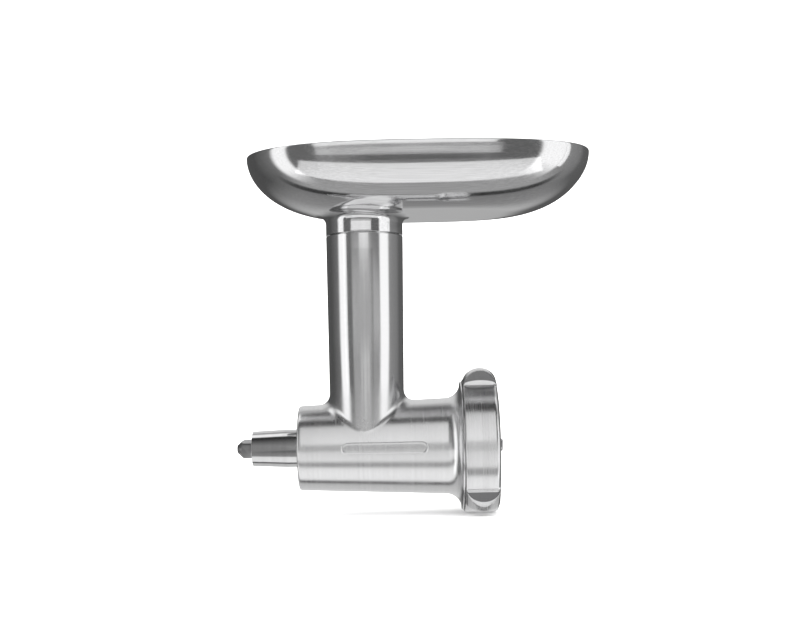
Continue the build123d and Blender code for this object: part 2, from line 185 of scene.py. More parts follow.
class WormSizes(bpy.types.PropertyGroup):
    """Sizes of the worm, the plate and the threads."""

    core: length("Worm core", "Radius of the worm's core", 0.0105)
    outer: length("Worm radius", "Outer radius of the worm's flight", 0.0248)
    nose: length("Worm nose", "Radius of the nose behind the knife", 0.0125)
    worm_pitch: length("Worm pitch", "Distance between two turns of the flight", 0.026)
    flight_root: tilt("Flight root", "Half of the turn that the flight takes at the core", 41)
    flight_crest: tilt("Flight crest", "Half of the turn that the flight's crest takes", 19)
    thread_pitch: length("Thread pitch", "Distance between two turns of the mouth's thread", 0.004)
    thread_height: length("Thread height", "Height of the mouth's thread", THREAD_HEIGHT)
    hole: length("Plate hole", "Radius of the holes in the grinding plate", 0.00225)
    first_circle: length("First circle", "Radius of the innermost circle of holes", 0.0102)
    circle_step: length("Circle step", "Distance between two circles of holes", 0.0061)
    circles: count("Circles", "Number of circles of holes", 4)
    spacing: length("Hole spacing", "Distance between two holes on a circle", 0.0066)


class Finishes(bpy.types.PropertyGroup):
    """Colours and polish of the metals."""

    casting: colour("Casting", "Brushed cast aluminium", (0.80, 0.80, 0.805))
    polished: colour("Tray", "Polished sheet", (0.78, 0.78, 0.785))
    bright: colour("Spigot", "Bright turned steel", (0.74, 0.74, 0.745))
    dark: colour("Shaft", "Dark ground steel", (0.46, 0.46, 0.465))
    blade: colour("Blade", "Ground blade steel", (0.60, 0.60, 0.61))
    # Lug flank colour is painted shade: darkened to stand in for the dark surroundings that the flat flanks
    # mirror.
    flank: colour("Lug flanks", "Darker cast flanks of the lugs", (0.20, 0.20, 0.203))
    bronze: colour("Bushes", "Bearing bronze", (0.56, 0.36, 0.16))
    casting_roughness: share("Casting roughness", "Roughness of the brushed casting", 0.23)
    tray_roughness: share("Tray roughness", "Roughness of the polished tray", 0.10)


class StageSettings(bpy.types.PropertyGroup):
    """Camera and light."""

    distance: length("Distance", "Camera to the grinder's axis", 0.875)
    across: length("Across", "Camera's place along the grinder", 0.073)
    height: length("Height", "Camera's height above the axis", 0.035)
    lens: plain_number("Lens", "Focal length in millimetres", 55.9)
    pitch: tilt("Pitch", "Upward tilt", 3.5)
    roll: tilt("Roll", "Turn about the view", -1.0)
    studio: plain_number("Studio", "Brightness of the studio in reflections", 1.25)
    ambient: plain_number("Ambient", "Brightness of the studio on the floor", 2.8)


# ---- Mesh helpers --------------------------------------------------------------------------

def lerp(low, high, t):
    """The value at share t of the way from low to high."""
    return low + (high - low) * t


def steps(low, high, number):
    """number + 1 evenly spaced values from low to high."""
    return [lerp(low, high, index / number) for index in range(number + 1)]


def bezier(start, handle_a, handle_b, end, t):
    """The point at share t of a cubic curve."""
    u = 1 - t
    return start * u ** 3 + handle_a * 3 * u * u * t + handle_b * 3 * u * t * t + end * t ** 3


def rounded(corner, before, after, size, number=4):
    """Points (u, v) that round a corner between the directions of its two neighbours."""
    corner, before, after = Vector(corner), Vector(before), Vector(after)
    start = corner + (before - corner).normalized() * size
    end = corner + (after - corner).normalized() * size
    points = []
    for t in steps(0.0, 1.0, number):
        points.append(start * (1 - t) ** 2 + corner * 2 * t * (1 - t) + end * t * t)
    return points


def eased_profile(corners, ease):
    """An open outline (u, v) with every inner corner rounded by the same small size."""
    points = [Vector(corners[0])]
    for before, corner, after in zip(corners, corners[1:], corners[2:]):
        points.extend(rounded(corner, before, after, ease))
    points.append(Vector(corners[-1]))
    return points


class Skin:
    """A mesh built from rings of points; rings with the same number of points are joined by quads."""

    def __init__(self):
        self.points = []
        self.faces = []
        self.marks = []

    def ring(self, points):
        """Adds a ring and returns the numbers of its points."""
        first = len(self.points)
        self.points.extend(tuple(point) for point in points)
        return list(range(first, len(self.points)))

    def join(self, a, b, closed=True):
        """Joins two rings with quads."""
        number = len(a)
        for index in range(number if closed else number - 1):
            after = (index + 1) % number
            self.faces.append((a[index], a[after], b[after], b[index]))
            self.marks.append(0)

    def strip(self, rings, closed=True):
        """Joins a list of rings, each to the next."""
        for a, b in zip(rings, rings[1:]):
            self.join(a, b, closed)

    def build(self, name, sharp=math.radians(32), merge=1e-7, recalculate=True):
        """Makes the object: merged, facing outwards, smooth but for its sharp edges."""
        mesh = bpy.data.meshes.new(name)
        mesh.from_pydata(self.points, [], self.faces)
        if any(self.marks):
            mesh.polygons.foreach_set("material_index", self.marks)
        shape = bmesh.new()
        shape.from_mesh(mesh)
        bmesh.ops.remove_doubles(shape, verts=shape.verts, dist=merge)
        bmesh.ops.dissolve_degenerate(shape, edges=shape.edges, dist=merge)
        if recalculate:
            bmesh.ops.recalc_face_normals(shape, faces=shape.faces)
        shape.to_mesh(mesh)
        shape.free()
        smooth_but_sharp(mesh, sharp)
        return new_object(name, mesh)


def new_object(name, mesh):
    """An object for a mesh, in the scene."""
    piece = bpy.data.objects.new(name, mesh)
    bpy.context.scene.collection.objects.link(piece)
    return piece


def smooth_but_sharp(mesh, sharp):
    """Shades a mesh smooth but for its edges sharper than an angle."""
    mesh.shade_smooth()
    mesh.set_sharp_from_angle(angle=sharp)


def apply_modifiers(piece, sharp):
    """Gives a piece the plain mesh that its modifiers make, and takes them off."""
    bpy.context.view_layer.update()
    evaluated = piece.evaluated_get(bpy.context.evaluated_depsgraph_get())
    plain = bpy.data.meshes.new_from_object(evaluated)
    piece.modifiers.clear()
    piece.data = plain
    smooth_but_sharp(plain, sharp)


def turned_rings(skin, profile, angles):
    """Rings about the X axis from a profile of (x, radius)."""
    rings = []
    for x, radius in profile:
        rings.append(skin.ring((x, radius * math.sin(a), radius * math.cos(a)) for a in angles))
    return rings


def turned_piece(name, profile, segments=160, sharp=math.radians(32)):
    """A closed solid turned about the X axis; the profile is a closed outline of (x, radius)."""
    skin = Skin()
    angles = [TAU * index / segments for index in range(segments)]
    rings = turned_rings(skin, profile, angles)
    skin.strip(rings + rings[:1])
    return skin.build(name, sharp)


def finished(piece, material, body, slot, *nodes):
    """Gives a piece its material, its body and the nodes that it stands for; the record slot is not used."""
    if material is not None:
        piece.data.materials.clear()
        piece.data.materials.append(material)
    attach(piece, body)
    if nodes:
        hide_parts(*nodes)
    return piece


def softened_copy(name, node, ease=0.0002, sharp=math.radians(30)):
    """A copy of a node's mesh with merged points and slightly rounded edges."""
    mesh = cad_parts[node].data.copy()
    mesh.name = name
    mesh.materials.clear()
    shape = bmesh.new()
    shape.from_mesh(mesh)
    bmesh.ops.remove_doubles(shape, verts=shape.verts, dist=2e-6)
    bmesh.ops.dissolve_limit(
        shape, angle_limit=math.radians(0.6), verts=shape.verts, edges=shape.edges,
        use_dissolve_boundaries=False,
    )
    shape.to_mesh(mesh)
    shape.free()
    piece = new_object(name, mesh)
    bevel = piece.modifiers.new("ease", "BEVEL")
    bevel.width = ease
    bevel.segments = 2
    bevel.limit_method = "ANGLE"
    bevel.angle_limit = sharp
    bevel.use_clamp_overlap = True
    apply_modifiers(piece, sharp)
    return piece


# ---- Housing -------------------------------------------------------------------------------

SIDE_STEPS = 48
UNDER_STEPS = 60
TOP_HALF_ANGLE = math.radians(96)
BLEND_PULL = 0.62
PATCH_REACH = 0.041
THROAT_REACH = 0.0355
THROAT_BLEND = 0.0008
TUBE_EASE = 0.0005
CORNER_EASE = 0.0003
MOUTH_CHAMFER = 0.001
TUBE_ROWS = 60
THROAT_ROWS = 40


class Crossing:
    """The skin where an upright tube meets a lying barrel, as rings that flow from one to the other.

    The barrel's part is a patch of its surface that goes a distance, reach, along the barrel to each side
    of the tube, and TOP_HALF_ANGLE round to each side of the barrel's top line. Plain turned rings carry on
    from the patch's four sides.
    """

    def __init__(self, barrel_radius, tube_radius, reach, blend_radius):
        self.barrel_radius = barrel_radius
        self.tube_radius = tube_radius
        self.blend_radius = blend_radius
        self.along = steps(TUBE_X - reach, TUBE_X + reach, SIDE_STEPS)
        self.around = steps(-TOP_HALF_ANGLE, TOP_HALF_ANGLE, SIDE_STEPS)
        border = [(x, TOP_HALF_ANGLE) for x in reversed(self.along[1:])]
        border += [(self.along[0], angle) for angle in reversed(self.around[1:])]
        border += [(x, -TOP_HALF_ANGLE) for x in self.along[:-1]]
        border += [(self.along[-1], angle) for angle in self.around[:-1]]
        self.border = border
        self.directions = [
            math.atan2(angle / TOP_HALF_ANGLE, (x - TUBE_X) / reach) for x, angle in border
        ]

    def on_barrel(self, x, angle):
        """The barrel's point at x and at an angle from its top line."""
        radius = self.barrel_radius(x)
        return Vector((x, radius * math.sin(angle), radius * math.cos(angle)))

    def over_barrel(self, out, direction):
        """The height of the barrel's surface at a distance from the tube's axis."""
        radius = self.barrel_radius(TUBE_X + out * math.cos(direction))
        return math.sqrt(max(radius ** 2 - (out * math.sin(direction)) ** 2, 0.0))

    def place(self, out, height, direction):
        """A point at a distance from the tube's axis."""
        return Vector((TUBE_X + out * math.cos(direction), out * math.sin(direction), height))

    def meeting(self, direction):
        """Where the tube's side meets the barrel: distance and height."""
        out = self.tube_radius(0.0, direction)
        for _ in range(16):
            height = self.over_barrel(out, direction)
            out = self.tube_radius(height, direction)
        return out, height

    def blend_reach(self, direction):
        """How far a ball of the blend's radius, rolled along the meeting line, touches from that line."""
        out, _ = self.meeting(direction)
        barrel_side = out * math.sin(direction) / self.barrel_radius(TUBE_X)
        corner = math.acos(max(-1.0, min(1.0, barrel_side * math.sin(direction))))
        return max(self.blend_radius * math.tan(corner / 2), 0.1 * self.blend_radius)

    def foot(self, direction):
        """Walks out on the barrel from the meeting line: distance, height and slope there."""
        out, height = self.meeting(direction)
        reach = self.blend_reach(direction)
        stride = reach / 400
        walked = 0.0
        while walked < reach:
            lower = self.over_barrel(out + stride, direction)
            walked += math.hypot(stride, lower - height)
            out += stride
            height = lower
        slope = Vector((stride, self.over_barrel(out + stride, direction) - height)).normalized()
        return out, height, slope

    def blend(self, direction, number):
        """The blend's curve from the tube's side down to the barrel, as (distance, height)."""
        meet_out, meet_height = self.meeting(direction)
        top_height = meet_height + self.blend_reach(direction)
        top = Vector((self.tube_radius(top_height, direction), top_height))
        out, height, slope = self.foot(direction)
        foot = Vector((out, height))
        corner = Vector((meet_out, meet_height))
        handle_a = top + (corner - top) * BLEND_PULL
        handle_b = foot - slope * (foot - corner).length * BLEND_PULL
        return [bezier(top, handle_a, handle_b, foot, t) for t in steps(0.0, 1.0, number)]

    def rings(self, skin, top, rows, seam=0.0, blend_steps=14, patch_steps=18):
        """Adds the rings from the tube's top down, over the blend and out to the patch's border."""
        curves = [self.blend(direction, blend_steps) for direction in self.directions]
        rings = []
        ridge = [abs(math.cos(direction)) < 1e-6 for direction in self.directions]
        for t in steps(0.0, 1.0, rows)[:-1]:
            row = []
            for direction, curve, crest in zip(self.directions, curves, ridge):
                z = lerp(top, curve[0].y, t)
                out = self.tube_radius(z, direction) + (seam * min(1.0, 3 * t) if crest else 0.0)
                row.append(self.place(out, z, direction))
            rings.append(skin.ring(row))
        for index in range(blend_steps + 1):
            fade = seam * (1 - index / blend_steps)
            row = []
            for direction, curve, crest in zip(self.directions, curves, ridge):
                row.append(self.place(curve[index].x + (fade if crest else 0.0), curve[index].y, direction))
            rings.append(skin.ring(row))
        starts = []
        for direction, curve in zip(self.directions, curves):
            foot = self.place(curve[-1].x, curve[-1].y, direction)
            starts.append((foot.x, math.atan2(foot.y, foot.z)))
        for t in steps(0.0, 1.0, patch_steps)[1:]:
            row = []
            for (x, angle), (border_x, border_angle) in zip(starts, self.border):
                row.append(self.on_barrel(lerp(x, border_x, t), lerp(angle, border_angle, t)))
            rings.append(skin.ring(row))
        skin.strip(rings)
        return rings

    def all_angles(self):
        """Angles of a full ring that shares the patch's points."""
        under = steps(TOP_HALF_ANGLE, TAU - TOP_HALF_ANGLE, UNDER_STEPS)
        return self.around + under[1:-1]

    def underside(self, skin):
        """Adds the rest of the barrel between the patch's two long sides."""
        under = steps(TOP_HALF_ANGLE, TAU - TOP_HALF_ANGLE, UNDER_STEPS)
        rings = [skin.ring(self.on_barrel(x, angle) for angle in under) for x in self.along]
        skin.strip(rings, closed=False)


def build_housing(sizes):
    """The casting: barrel, feed tube, shoulder and mouth as one closed skin."""
    skin = Skin()
    slope = (sizes.barrel_front - sizes.barrel_rear) / sizes.flare_start

    def outer_radius(x):
        return sizes.barrel_rear + slope * x

    def tube_radius(z, direction):
        across = lerp(sizes.tube_low, sizes.tube_high, z / TUBE_TOP)
        share_down = min(1.0, max(0.0, (sizes.swell_top - z) / sizes.swell_top))
        deep = across + sizes.swell * share_down * share_down * (3 - 2 * share_down)
        return across * deep / math.hypot(deep * math.cos(direction), across * math.sin(direction))

    outside = Crossing(outer_radius, tube_radius, PATCH_REACH, sizes.blend)
    inside = Crossing(
        lambda x: sizes.barrel_bore, lambda z, direction: sizes.throat, THROAT_REACH, THROAT_BLEND
    )
    angles = outside.all_angles()

    outer_rings = outside.rings(skin, TUBE_TOP - TUBE_EASE, TUBE_ROWS, sizes.seam)
    outside.underside(skin)
    socket_floor = TUBE_TOP - sizes.socket_depth
    inner_rings = inside.rings(skin, socket_floor - TUBE_EASE, THROAT_ROWS)
    inside.underside(skin)

    rim = rounded((sizes.tube_high, TUBE_TOP), (sizes.tube_high, 0), (0, TUBE_TOP), TUBE_EASE)
    rim += rounded((sizes.socket, TUBE_TOP), (1, TUBE_TOP), (sizes.socket, 0), TUBE_EASE)
    rim += [Vector((sizes.socket, socket_floor))]
    rim += rounded((sizes.throat, socket_floor), (1, socket_floor), (sizes.throat, 0), TUBE_EASE)
    rows = []
    for radius, z in rim:
        rows.append(skin.ring(outside.place(radius, z, direction) for direction in outside.directions))
    skin.join(outer_rings[0], rows[0])
    skin.strip(rows)
    skin.join(rows[-1], inner_rings[0])

    edge = sizes.edge_round
    rear = []
    for t in steps(0.0, math.pi / 2, 7):
        rear.append((edge * (1 - math.cos(t)), sizes.barrel_rear - edge + edge * math.sin(t)))
    rear += [(x, outer_radius(x)) for x in steps(edge, outside.along[0], 6)[1:]]
    front = [(x, outer_radius(x)) for x in steps(outside.along[-1], sizes.flare_start, 10)]
    for t in steps(0.0, math.pi / 2, 20)[1:]:
        drop = sizes.flare * (1 - math.cos(t))
        front.append((sizes.flare_start + sizes.flare * math.sin(t), sizes.barrel_front + drop))
    lip = (sizes.shoulder_face, sizes.shoulder)
    front += [tuple(point) for point in rounded(lip, front[-1], (lip[0], 0), CORNER_EASE)]
    root = sizes.thread_root
    face = (sizes.shoulder_face, root)
    rim_x = HOUSING_HIGH.x
    front += eased_profile(
        [
            face,
            (rim_x - MOUTH_CHAMFER, root),
            (rim_x, root - MOUTH_CHAMFER),
            (rim_x, sizes.mouth),
            (sizes.mouth_start, sizes.mouth),
            (sizes.mouth_start - sizes.mouth_taper, sizes.barrel_bore),
        ],
        CORNER_EASE,
    )
    front += [(x, sizes.barrel_bore) for x in steps(front[-1][0], inside.along[-1], 8)[1:]]
    skin.strip(turned_rings(skin, front, angles))

    bore_start = [(x, sizes.barrel_bore) for x in steps(inside.along[0], sizes.wall, 3)]
    bore_start += [(sizes.wall, sizes.shank), (0.0, sizes.shank)]
    skin.strip(turned_rings(skin, bore_start + rear, angles))
    return skin.build("housing_casting", math.radians(38), 2e-6)


PAD_ROWS = 130
PAD_COLUMNS = 26
PAD_SUNK = 0.0002
PAD_ROOT = 0.0015
PAD_RIM = 0.0011
PAD_BANK = 0.0004
PAD_DISH = 0.6
PAD_MARGIN = 1.02


def build_pad(sizes):
    """A blank pad with a raised rim, set into the barrel's side like a cast nameplate."""
    skin = Skin()
    reach_x = sizes.pad_length / 2
    reach_z = sizes.pad_height / 2
    slope = (sizes.barrel_front - sizes.barrel_rear) / sizes.flare_start

    def relief(u, v):
        straight = reach_x - reach_z
        inside = reach_z - math.hypot(max(abs(u) - straight, 0.0), v)
        if inside <= 0.0:
            return -PAD_SUNK
        rise = min(1.0, inside / PAD_BANK)
        fall = min(1.0, max(0.0, (inside - PAD_RIM) / PAD_BANK))
        return lerp(-PAD_SUNK, sizes.pad_relief, rise) - PAD_DISH * sizes.pad_relief * fall

    def point(u, v, extra):
        x = sizes.pad_x + u
        radius = sizes.barrel_rear + slope * x + extra
        angle = v / sizes.barrel_front
        return (x, -radius * math.cos(angle), radius * math.sin(angle))

    wide, tall = reach_x * PAD_MARGIN, reach_z * PAD_MARGIN
    rows = []
    for u in steps(-wide, wide, PAD_ROWS):
        top = [point(u, v, relief(u, v)) for v in steps(-tall, tall, PAD_COLUMNS)]
        under = [point(u, v, -PAD_ROOT) for v in steps(tall, -tall, PAD_COLUMNS)]
        rows.append(skin.ring(top + under))
    skin.strip(rows)
    for row in (rows[0], rows[-1]):
        skin.join(row[:PAD_COLUMNS + 1], row[:PAD_COLUMNS:-1], closed=False)
    return skin.build("housing_pad", math.radians(50))


# ---- Ring nut ------------------------------------------------------------------------------

LUG_COUNT = 3
FIRST_LUG = math.radians(72.5)
FOOT_STEPS = 4
FLANK_STEPS = 4
EDGE_STEPS = 3
BETWEEN_STEPS = 44
CREST_STEPS = 8
RING_STATIONS = 56
BORE_EASE = 0.0002
BORE_CHAMFER = 0.0006


def build_ring(sizes):
    """The ring nut: a round body, three domed lugs with flat flanks, and a bore with a lip."""
    skin = Skin()
    rear, front = RING_LOW.x, RING_HIGH.x
    middle = (rear + front) / 2
    half = (front - rear) / 2
    dome_rise = sizes.lug_tip - sizes.lug_base
    dome_radius = (half ** 2 + dome_rise ** 2) / (2 * dome_rise)
    dome_centre = sizes.lug_tip - dome_radius

    def body_radius(x):
        """The ring's radius at x, with both edges rounded."""
        front_drop = max(0.0, x - (front - sizes.front_round))
        rear_drop = max(0.0, rear + sizes.rear_round - x)
        radius = sizes.radius
        radius -= sizes.front_round - math.sqrt(max(sizes.front_round ** 2 - front_drop ** 2, 0.0))
        radius -= sizes.rear_round - math.sqrt(max(sizes.rear_round ** 2 - rear_drop ** 2, 0.0))
        return radius

    def dome(x):
        """The lugs' radius at x."""
        return dome_centre + math.sqrt(max(dome_radius ** 2 - (x - middle) ** 2, 0.0))

    def flank_width(height):
        """Half of a lug's width at a height."""
        return sizes.crest + (sizes.lug_tip - height) * sizes.flank

    def lug_side(x):
        """One side of a lug from the ring up to its crest, as (across, height), and its crest's radius."""
        base = body_radius(x)
        top = max(dome(x), base)
        foot_height = base
        top_height = top
        for _ in range(8):
            foot_height = math.sqrt(base ** 2 - flank_width(foot_height) ** 2)
            top_height = math.sqrt(top ** 2 - flank_width(top_height) ** 2)
        foot = Vector((flank_width(foot_height), foot_height))
        edge = Vector((flank_width(top_height), top_height))
        rise = (edge - foot).length
        blend = min(sizes.blend, 0.4 * rise) + 1e-5
        ease = min(sizes.ease, 0.3 * rise) + 1e-5
        away = Vector((foot.y, -foot.x)).normalized()
        up = (edge - foot).normalized() if rise > 1e-6 else Vector((0, 1))
        start = foot + away * blend
        start = start.normalized() * base
        points = []
        for t in steps(0.0, 1.0, FOOT_STEPS):
            lower = start * (1 - t) ** 2 + foot * 2 * t * (1 - t) + (foot + up * blend) * t * t
            points.append(lower if lower.length > base else lower.normalized() * base)
        shoulder = edge - up * ease
        points += [points[-1].lerp(shoulder, t) for t in steps(0.0, 1.0, FLANK_STEPS)[1:]]
        inward = Vector((-edge.y, edge.x)).normalized()
        landing = (edge + inward * ease).normalized() * top
        for t in steps(0.0, 1.0, EDGE_STEPS)[1:]:
            points.append(shoulder * (1 - t) ** 2 + edge * 2 * t * (1 - t) + landing * t * t)
        return points, top

    def section(x):
        """The ring's outline at x as polar points, and a mark for the flat flanks, which get the flank
        colour's painted shade.
        """
        side, top = lug_side(x)
        base = body_radius(x)
        spread = [(math.atan2(point.x, point.y), point.length) for point in side]
        flank_end = FOOT_STEPS + FLANK_STEPS
        ring, marks = [], []
        for number in range(LUG_COUNT):
            centre = FIRST_LUG - TAU * number / LUG_COUNT
            for index, (angle, radius) in enumerate(spread):
                ring.append((centre + angle, radius))
                marks.append(1 + number if FOOT_STEPS <= index < flank_end else 0)
            crest = spread[-1][0]
            for angle in steps(crest, -crest, CREST_STEPS)[1:-1]:
                ring.append((centre + angle, top))
                marks.append(0)
            for index, (angle, radius) in reversed(list(enumerate(spread))):
                ring.append((centre - angle, radius))
                marks.append(1 + number if FOOT_STEPS < index <= flank_end else 0)
            marks[-len(spread) - 1] = 0
            begin = centre - spread[0][0]
            finish = centre - TAU / LUG_COUNT + spread[0][0]
            for angle in steps(begin, finish, BETWEEN_STEPS)[1:-1]:
                ring.append((angle, base))
                marks.append(0)
        return ring, marks

    stations = [middle - half * math.cos(math.pi * t) for t in steps(0.0, 1.0, RING_STATIONS)]
    rings = []
    marks = []
    for x in stations:
        outline, marks = section(x)
        rings.append(skin.ring((x, -r * math.cos(a), r * math.sin(a)) for a, r in outline))
    # Faces between marked flank points take the second material, whose dark colour is painted shade.
    for a, b in zip(rings, rings[1:]):
        number = len(a)
        for index in range(number):
            after = (index + 1) % number
            skin.faces.append((a[index], a[after], b[after], b[index]))
            skin.marks.append(1 if marks[index] and marks[after] == marks[index] else 0)
    seat = front - sizes.lip
    inner = eased_profile(
        [
            (front, body_radius(front)),
            (front, sizes.opening + BORE_CHAMFER),
            (front - BORE_CHAMFER, sizes.opening),
            (seat, sizes.opening),
            (seat, sizes.bore + THREAD_HEIGHT),
            (rear, sizes.bore + THREAD_HEIGHT),
            (rear, body_radius(rear)),
        ],
        BORE_EASE,
    )
    polar = [angle for angle, _ in section(front)[0]]
    rows = []
    for x, radius in inner[1:-1]:
        rows.append(skin.ring((x, -radius * math.cos(a), radius * math.sin(a)) for a in polar))
    skin.join(rings[-1], rows[0])
    skin.strip(rows)
    skin.join(rows[-1], rings[0])
    return skin.build("ring_nut_brushed", math.radians(35), 2e-7)


# ---- Tray ----------------------------------------------------------------------------------

class Bowl:
    """The pan's surface: sections that shrink from the rim to a flat floor."""

    def __init__(self, sizes, inset):
        self.sizes = sizes
        self.half_length = (PAN_HIGH.x - PAN_LOW.x) / 2 - inset
        self.half_width = (PAN_HIGH.y - PAN_LOW.y) / 2 - inset
        self.depth = sizes.depth - inset
        self.rim_turn = math.asin(sizes.wall / 2 / self.depth)

    def squareness(self, cosine):
        """How square the outline is, from the spigot end, -1, to the outlet end, 1."""
        return lerp(self.sizes.squareness, self.sizes.far_squareness, (1 + cosine) / 2)

    def outline(self, angle):
        """Share of the half length and half width at an angle."""
        power = 2 / self.squareness(math.cos(angle))
        along = math.copysign(abs(math.cos(angle)) ** power, math.cos(angle))
        across = math.copysign(abs(math.sin(angle)) ** power, math.sin(angle))
        return along, across

    def section(self, angle, turn):
        """The point at an angle around the pan, with turn 0 at the rim and a quarter turn at the floor."""
        along, across = self.outline(angle)
        size = 1 - self.sizes.narrowing * (1 - math.cos(turn))
        x = PAN_X + self.half_length * along * size
        y = self.half_width * across * size
        return Vector((x, y, PAN_HIGH.z - self.depth * math.sin(turn)))

    def height(self, x, y):
        """The height of the surface over a point inside the rim."""
        u = abs(x - PAN_X) / self.half_length
        v = abs(y) / self.half_width
        side = math.copysign(1.0, x - PAN_X)
        power = self.squareness(0.0)
        size = 0.0
        for _ in range(12):
            size = (u ** power + v ** power) ** (1 / power)
            if size < 1e-9:
                break
            power = self.squareness(side * min(1.0, (u / size)) ** (power / 2))
        cosine = 1 - (1 - size) / self.sizes.narrowing
        if cosine <= 0.0:
            return PAN_HIGH.z - self.depth
        return PAN_HIGH.z - self.depth * math.sqrt(max(1 - min(cosine, 1.0) ** 2, 0.0))


TRAY_ROUND = 224
WALL_RINGS = 30
FLOOR_RINGS = 26
FLARE_STEPS = 14
LOW_TURN = math.radians(60)
FLARE_REACH = 0.0075
FLARE_PULL = 0.60
NUDGE = 0.0005


def build_tray(sizes):
    """The pan with its flared neck, as one closed sheet of even thickness."""
    skin = Skin()
    angles = [TAU * index / TRAY_ROUND for index in range(TRAY_ROUND)]
    outer, inner = Bowl(sizes, 0.0), Bowl(sizes, sizes.wall)
    floor = PAN_HIGH.z - sizes.depth
    neck_low = PAN_LOW.z + sizes.seam

    def walls(bowl):
        turns = steps(bowl.rim_turn, LOW_TURN, WALL_RINGS)
        return [skin.ring(bowl.section(a, turn) for a in angles) for turn in turns]

    def towards(bowl, starts):
        """Rings from the wall's lowest ring in to a ring of points around the hole."""
        ends = [bowl.section(a, LOW_TURN) for a in angles]
        rows = []
        for t in steps(0.0, 1.0, FLOOR_RINGS)[1:]:
            row = []
            for end, start in zip(ends, starts):
                x, y = lerp(end.x, start.x, t), lerp(end.y, start.y, t)
                row.append(Vector((x, y, bowl.height(x, y))))
            rows.append(skin.ring(row))
        return rows

    def about_neck(radius, angle, z=0.0):
        return Vector((TUBE_X + radius * math.cos(angle), radius * math.sin(angle), z))

    flare_out = sizes.neck + FLARE_REACH
    feet = [about_neck(flare_out, a) for a in angles]
    outer_rings = walls(outer) + towards(outer, feet)
    curves = []
    for a in angles:
        foot = about_neck(flare_out, a)
        foot.z = outer.height(foot.x, foot.y)
        nudge = about_neck(flare_out + NUDGE, a)
        nudge.z = outer.height(nudge.x, nudge.y)
        inwards = (foot - nudge).normalized()
        top = about_neck(sizes.neck, a, floor - sizes.flare)
        corner = about_neck(sizes.neck, a, foot.z)
        handle_a = foot + inwards * (foot - corner).length * FLARE_PULL
        handle_b = top + Vector((0, 0, 1)) * (corner - top).length * FLARE_PULL
        curve = [bezier(foot, handle_a, handle_b, top, t) for t in steps(0.0, 1.0, FLARE_STEPS)[1:]]
        curves.append(curve)
    for index in range(len(curves[0])):
        outer_rings.append(skin.ring(curve[index] for curve in curves))
    ease = 0.0004
    neck = [(sizes.neck, z) for z in steps(floor - sizes.flare, neck_low + ease, 8)[1:-1]]
    neck += rounded((sizes.neck, neck_low), (sizes.neck, 1), (0, neck_low), ease)
    neck += rounded((sizes.neck_bore, neck_low), (1, neck_low), (sizes.neck_bore, 1), ease)
    neck += [(sizes.neck_bore, floor)]
    floor_top = floor + sizes.wall
    neck += rounded((sizes.hole, floor), (1, floor), (sizes.hole, 1), ease)
    neck += rounded((sizes.hole, floor_top), (sizes.hole, 0), (1, floor_top), 0.0006)
    for radius, z in neck:
        outer_rings.append(skin.ring(about_neck(radius, a, z) for a in angles))
    starts = [about_neck(sizes.hole + 0.003, a) for a in angles]
    inner_rings = walls(inner) + towards(inner, starts)
    last = [about_neck(sizes.hole + 0.0006, a, floor_top) for a in angles]
    inner_rings.append(skin.ring(last))
    skin.strip(outer_rings)
    skin.strip(inner_rings)
    skin.join(outer_rings[-1], inner_rings[-1])
    lip = []
    for t in steps(0.0, math.pi, 8)[1:-1]:
        row = []
        for a in angles:
            outside, inside = outer.section(a, outer.rim_turn), inner.section(a, inner.rim_turn)
            middle = (outside + inside) / 2
            reach = (outside - inside) / 2
            rise = Vector((0, 0, sizes.wall / 2 * math.sin(t)))
            row.append(middle + reach * math.cos(t) + rise)
        lip.append(skin.ring(row))
    skin.strip([outer_rings[0], *lip, inner_rings[0]])
    return skin.build("tray_polished", math.radians(40), 2e-7)


# ---- Geometry Nodes ------------------------------------------------------------------------

class Nodes:
    """A node tree that is built up node by node."""

    def __init__(self, net):
        self.net = net

    def node(self, kind, inputs=(), **settings):
        """Adds a node; inputs are pairs of a socket's number or identifier and a value or another socket."""
        node = self.net.nodes.new(kind)
        for name, value in settings.items():
            setattr(node, name, value)
        for key, value in dict(inputs).items():
            if isinstance(key, int):
                target = node.inputs[key]
            else:
                target = next(socket for socket in node.inputs if socket.identifier == key)
            for single in value if isinstance(value, list) else [value]:
                if isinstance(single, bpy.types.NodeSocket):
                    self.net.links.new(single, target)
                else:
                    target.default_value = single
        return node

    def sum_of(self, operation, a, b=0.0, clamp=False):
        """The result of one sum."""
        return self.node("ShaderNodeMath", {0: a, 1: b}, operation=operation, use_clamp=clamp).outputs[0]


